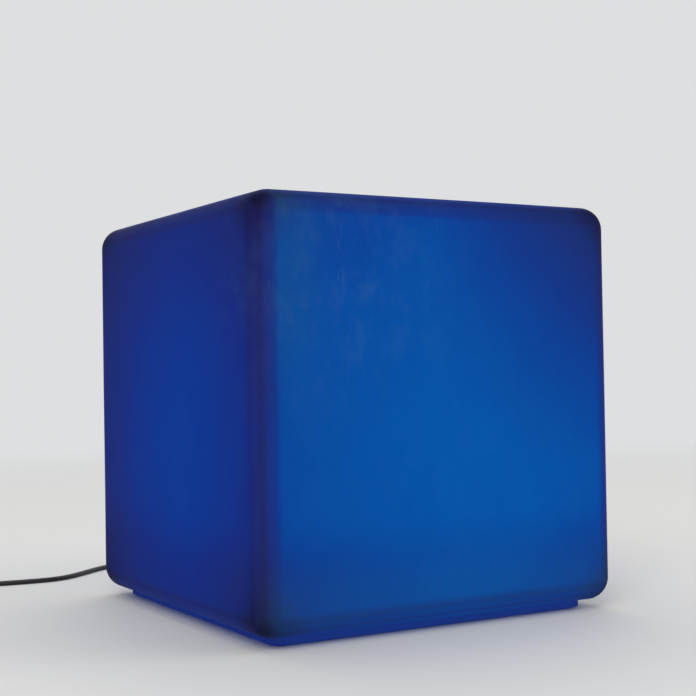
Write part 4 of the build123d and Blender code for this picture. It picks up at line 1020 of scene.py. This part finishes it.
under = blended(tree, printed, GLASS_FIBRE, under)
raised = sums(tree, "MAXIMUM", times(tree, track, printed), pads)
give_out(tree, outward, blended(tree, pads, under, TINNED_PAD), pads, raised)

green_board, tree, shader = new_material("board_green", roughness=0.3)
tracks = place_group(
    tree, printed_tracks, Mask_Tint=colour(16, 84, 48), Track_Tint=colour(32, 112, 62), Pitch=390.0
)
feed(tree, tracks["Color"], shader.inputs["Base Color"])
feed(tree, tracks["Pads"], shader.inputs["Metallic"])
bump(tree, shader, tracks["Height"], 0.6, 0.00004)
finish(green_board, "control_board", "adaptor_board")


def chip_finish(name, body_tint, metal_tint, is_metal):
    """A part with bare metal on it, which a mask made from place and facing tells apart."""
    made, tree, shader = new_material(name)
    place, normal = on_surface(tree)
    mask = is_metal(tree, normal, *xyz(tree, place))
    skin = place_group(tree, moulded_skin, Tint=body_tint, Grain=2600.0, Patchiness=0.15, Roughness=0.55)
    feed(tree, blended(tree, mask, skin["Color"], metal_tint), shader.inputs["Base Color"])
    feed(tree, mask, shader.inputs["Metallic"])
    feed(tree, eased(tree, mask, 0.0, 1.0, 0.55, 0.28), shader.inputs["Roughness"])
    bump(tree, shader, skin["Height"], 0.4, 0.00003)
    return made


TINNED = colour(196, 197, 198)
EPOXY = colour(28, 28, 30)
CHIP_BODY_HALF = 0.00205
TAB_TOP = 0.00065  # over the board
CHOKE_WINDING = (0.0009, 0.0036)  # over the board
TRANSFORMER_WINDING = (0.0088, 0.0198)
# painted shade and highlight on the winding: dark copper in the grooves between the turns, light on their
# crests
COPPER_PAINTED_SHADE_AND_HIGHLIGHT = (colour(96, 48, 20), colour(206, 120, 66))
WIRE_TURNS = 9000.0
board_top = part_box("control_board")[1].z
chip_low, chip_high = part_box("controller_chip")


def chip_legs(tree, normal, x, y, z):
    """The chip's legs stand out on both sides of its body."""
    off = sums(tree, "ABSOLUTE", minus(tree, y, (chip_low.y + chip_high.y) / 2))
    return sums(tree, "GREATER_THAN", off, CHIP_BODY_HALF)


def low_metal(tree, normal, x, y, z):
    """The transistors' tabs and legs lie low on the board."""
    return sums(tree, "LESS_THAN", z, board_top + TAB_TOP)


def can_top(tree, normal, x, y, z):
    """The capacitors' bare tops; a sleeve covers the rest."""
    return sums(tree, "GREATER_THAN", xyz(tree, normal)["Z"], 0.8)


finish(chip_finish("chip_epoxy", EPOXY, TINNED, chip_legs), "controller_chip")
finish(chip_finish("transistor_epoxy", EPOXY, TINNED, low_metal), "drive_transistors")
sleeve = chip_finish("capacitor_sleeve", colour(30, 40, 74), TINNED, can_top)
finish(sleeve, "filter_capacitor", "adaptor_capacitors")


def winding(name, low, high, core_tint):
    """A ferrite core with a copper winding between two heights."""
    made, tree, shader = new_material(name, roughness=0.45)
    place, _ = on_surface(tree)
    z = xyz(tree, place)["Z"]
    wound = times(tree, sums(tree, "GREATER_THAN", z, low), sums(tree, "LESS_THAN", z, high))
    # painted shade and highlight across each turn of the wire
    turns = sums(tree, "ABSOLUTE", sums(tree, "SINE", times(tree, z, WIRE_TURNS)))
    copper = blended(tree, turns, *COPPER_PAINTED_SHADE_AND_HIGHLIGHT)
    skin = place_group(tree, moulded_skin, Tint=core_tint, Grain=1600.0, Patchiness=0.3, Roughness=0.6)
    feed(tree, blended(tree, wound, skin["Color"], copper), shader.inputs["Base Color"])
    feed(tree, times(tree, wound, 0.8), shader.inputs["Metallic"])
    bump(tree, shader, times(tree, turns, wound), 0.7, 0.0001)
    return made


choke_low, choke_high = [board_top + over for over in CHOKE_WINDING]
finish(winding("choke_winding", choke_low, choke_high, colour(52, 52, 54)), "choke")
finish(winding("transformer_winding", *TRANSFORMER_WINDING, colour(64, 62, 60)), "adaptor_transformer")
finish(moulded("terminal_polyamide", colour(34, 118, 74), 0.45, 1400.0, 0.15), "terminal_block")
finish(moulded("connector_nylon", colour(226, 222, 208), 0.42, 1400.0, 0.12), "led_connector")

WIRE_SHADES = [
    (0.0, colour(228, 226, 220)),
    (0.25, colour(176, 28, 26)),
    (0.5, colour(30, 128, 54)),
    (0.75, colour(34, 66, 176)),
]
wire_low, wire_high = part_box("led_wires")
wires, tree, shader = new_material("led_wire_insulation", roughness=0.4)
place, _ = on_surface(tree)
across = eased(tree, xyz(tree, place)["Y"], wire_low.y, wire_high.y, way="LINEAR")
rows = graded(tree, across, WIRE_SHADES)
rows.node.color_ramp.interpolation = "CONSTANT"
dulled = times(tree, mottle(tree, place, 300.0), 0.3)
feed(tree, blended(tree, dulled, rows, colour(90, 90, 90)), shader.inputs["Base Color"])
bump(tree, shader, mottle(tree, place, 2000.0), 0.2, 0.00003)
finish(wires, "led_wires")


# ---------------------------------------------------------------- power button
# A grey cap in the belly, pressed from below against a spring. An O-ring in its groove keeps
# water out, and its stem works the plunger of a small switch under the board.
SPRING_WIRE = 0.0007
SPRING_TURNS = 4
WIRE_SIDES = 12
TURN_STEPS = 48
LID_EDGE = 0.0004

spring_low, spring_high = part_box("button_spring")
middle = (spring_low + spring_high) / 2
first_turn = Vector((middle.x, middle.y, spring_low.z + SPRING_WIRE / 2))
bpy.ops.object.select_all(action="DESELECT")
bpy.ops.mesh.primitive_circle_add(
    vertices=WIRE_SIDES, radius=SPRING_WIRE / 2, location=first_turn, rotation=(math.pi / 2, 0, 0)
)
spring = bpy.context.object
spring.name = "button_coil_spring"
bpy.ops.object.transform_apply(location=False, rotation=True, scale=False)
bpy.ops.object.mode_set(mode="EDIT")
bpy.ops.mesh.select_all(action="SELECT")
bpy.ops.transform.translate(value=(spring_high.x - middle.x - SPRING_WIRE / 2, 0, 0))
bpy.ops.object.mode_set(mode="OBJECT")
turns = spring.modifiers.new("turns", "SCREW")
turns.axis = "Z"
turns.iterations = SPRING_TURNS
turns.screw_offset = (spring_high.z - spring_low.z - SPRING_WIRE) / SPRING_TURNS
turns.steps = turns.render_steps = TURN_STEPS
bpy.ops.object.modifier_apply(modifier=turns.name)
settle(spring)
bpy.ops.object.mode_set(mode="EDIT")
bpy.ops.mesh.select_all(action="SELECT")
bpy.ops.mesh.fill_holes(sides=0)
bpy.ops.object.mode_set(mode="OBJECT")
tidy_skin(spring)
spring_wire = metal("spring_wire", colour(150, 152, 156), 0.25, 3000.0, 0.2)
show_in_place(spring, spring_wire, "cube", "spring_steel", "button_spring")
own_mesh(spring)

finish(moulded("button_cap", colour(98, 101, 106), 0.5, 1300.0, 0.12, 0.00005), "power_button")
finish(moulded("nitrile", colour(20, 20, 21), 0.5, 1900.0, 0.3, 0.00004), "button_oring")


def steel_lid(tree, normal, x, y, z):
    """The switch's steel lid, round the plunger."""
    return sums(tree, "LESS_THAN", z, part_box("tact_switch")[0].z + LID_EDGE)


finish(chip_finish("switch_shell", EPOXY, TINNED, steel_lid), "tact_switch")
finish(moulded("plunger_acetal", colour(58, 44, 34), 0.4, 1700.0, 0.1), "switch_plunger")


# ---------------------------------------------------------------- cord's way in
# Inside the tray a nylon bar clamps the cord's sheathed end, and its two cores go up to the
# terminals. A moulded relief in the tray's wall, with grooves so that it bends, guides it outside.
relief_pvc = moulded("relief_pvc", colour(24, 24, 26), 0.5, 1200.0, 0.2, 0.00006, dust=0.08)
finish(relief_pvc, "strain_relief", "adaptor_relief")
finish(moulded("clamp_nylon", colour(216, 214, 206), 0.45, 1300.0, 0.1), "cable_clamp")
finish(sheath, "cord_tail", "cord_end")
finish(moulded("red_insulation", colour(160, 26, 24), 0.4, 1900.0, 0.15), "positive_core")
finish(moulded("black_insulation", colour(24, 24, 25), 0.4, 1900.0, 0.15), "negative_core")


# ---------------------------------------------------------------- adaptor
# A plug-in adaptor in two halves of black ABS, spark-textured outside, welded together along its
# edge. Its two nickel-plated pins have sleeves over their lower half.
SEAM_HALF = 0.00012
adaptor_abs = moulded("adaptor_abs", colour(26, 26, 28), 0.55, 1500.0, 0.08, 0.0001, dust=0.05)
tree = adaptor_abs.node_tree
shader = tree.nodes["Principled BSDF"]
place, _ = on_surface(tree)
off_seam = minus(tree, xyz(tree, place)["Z"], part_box("adaptor_case")[1].z)
seam = eased(tree, sums(tree, "ABSOLUTE", off_seam), SEAM_HALF, 2 * SEAM_HALF, 1.0, 0.0)
plain = shader.inputs["Base Color"].links[0].from_socket
feed(tree, blended(tree, seam, plain, colour(8, 8, 9)), shader.inputs["Base Color"])
finish(adaptor_abs, "adaptor_case", "adaptor_cover")
finish(metal("pin_nickel", colour(208, 204, 194), 0.2, 2400.0, 0.25), "plug_pins")
finish(moulded("sleeve_plastic", colour(34, 34, 35), 0.38, 1700.0, 0.1), "pin_sleeves")
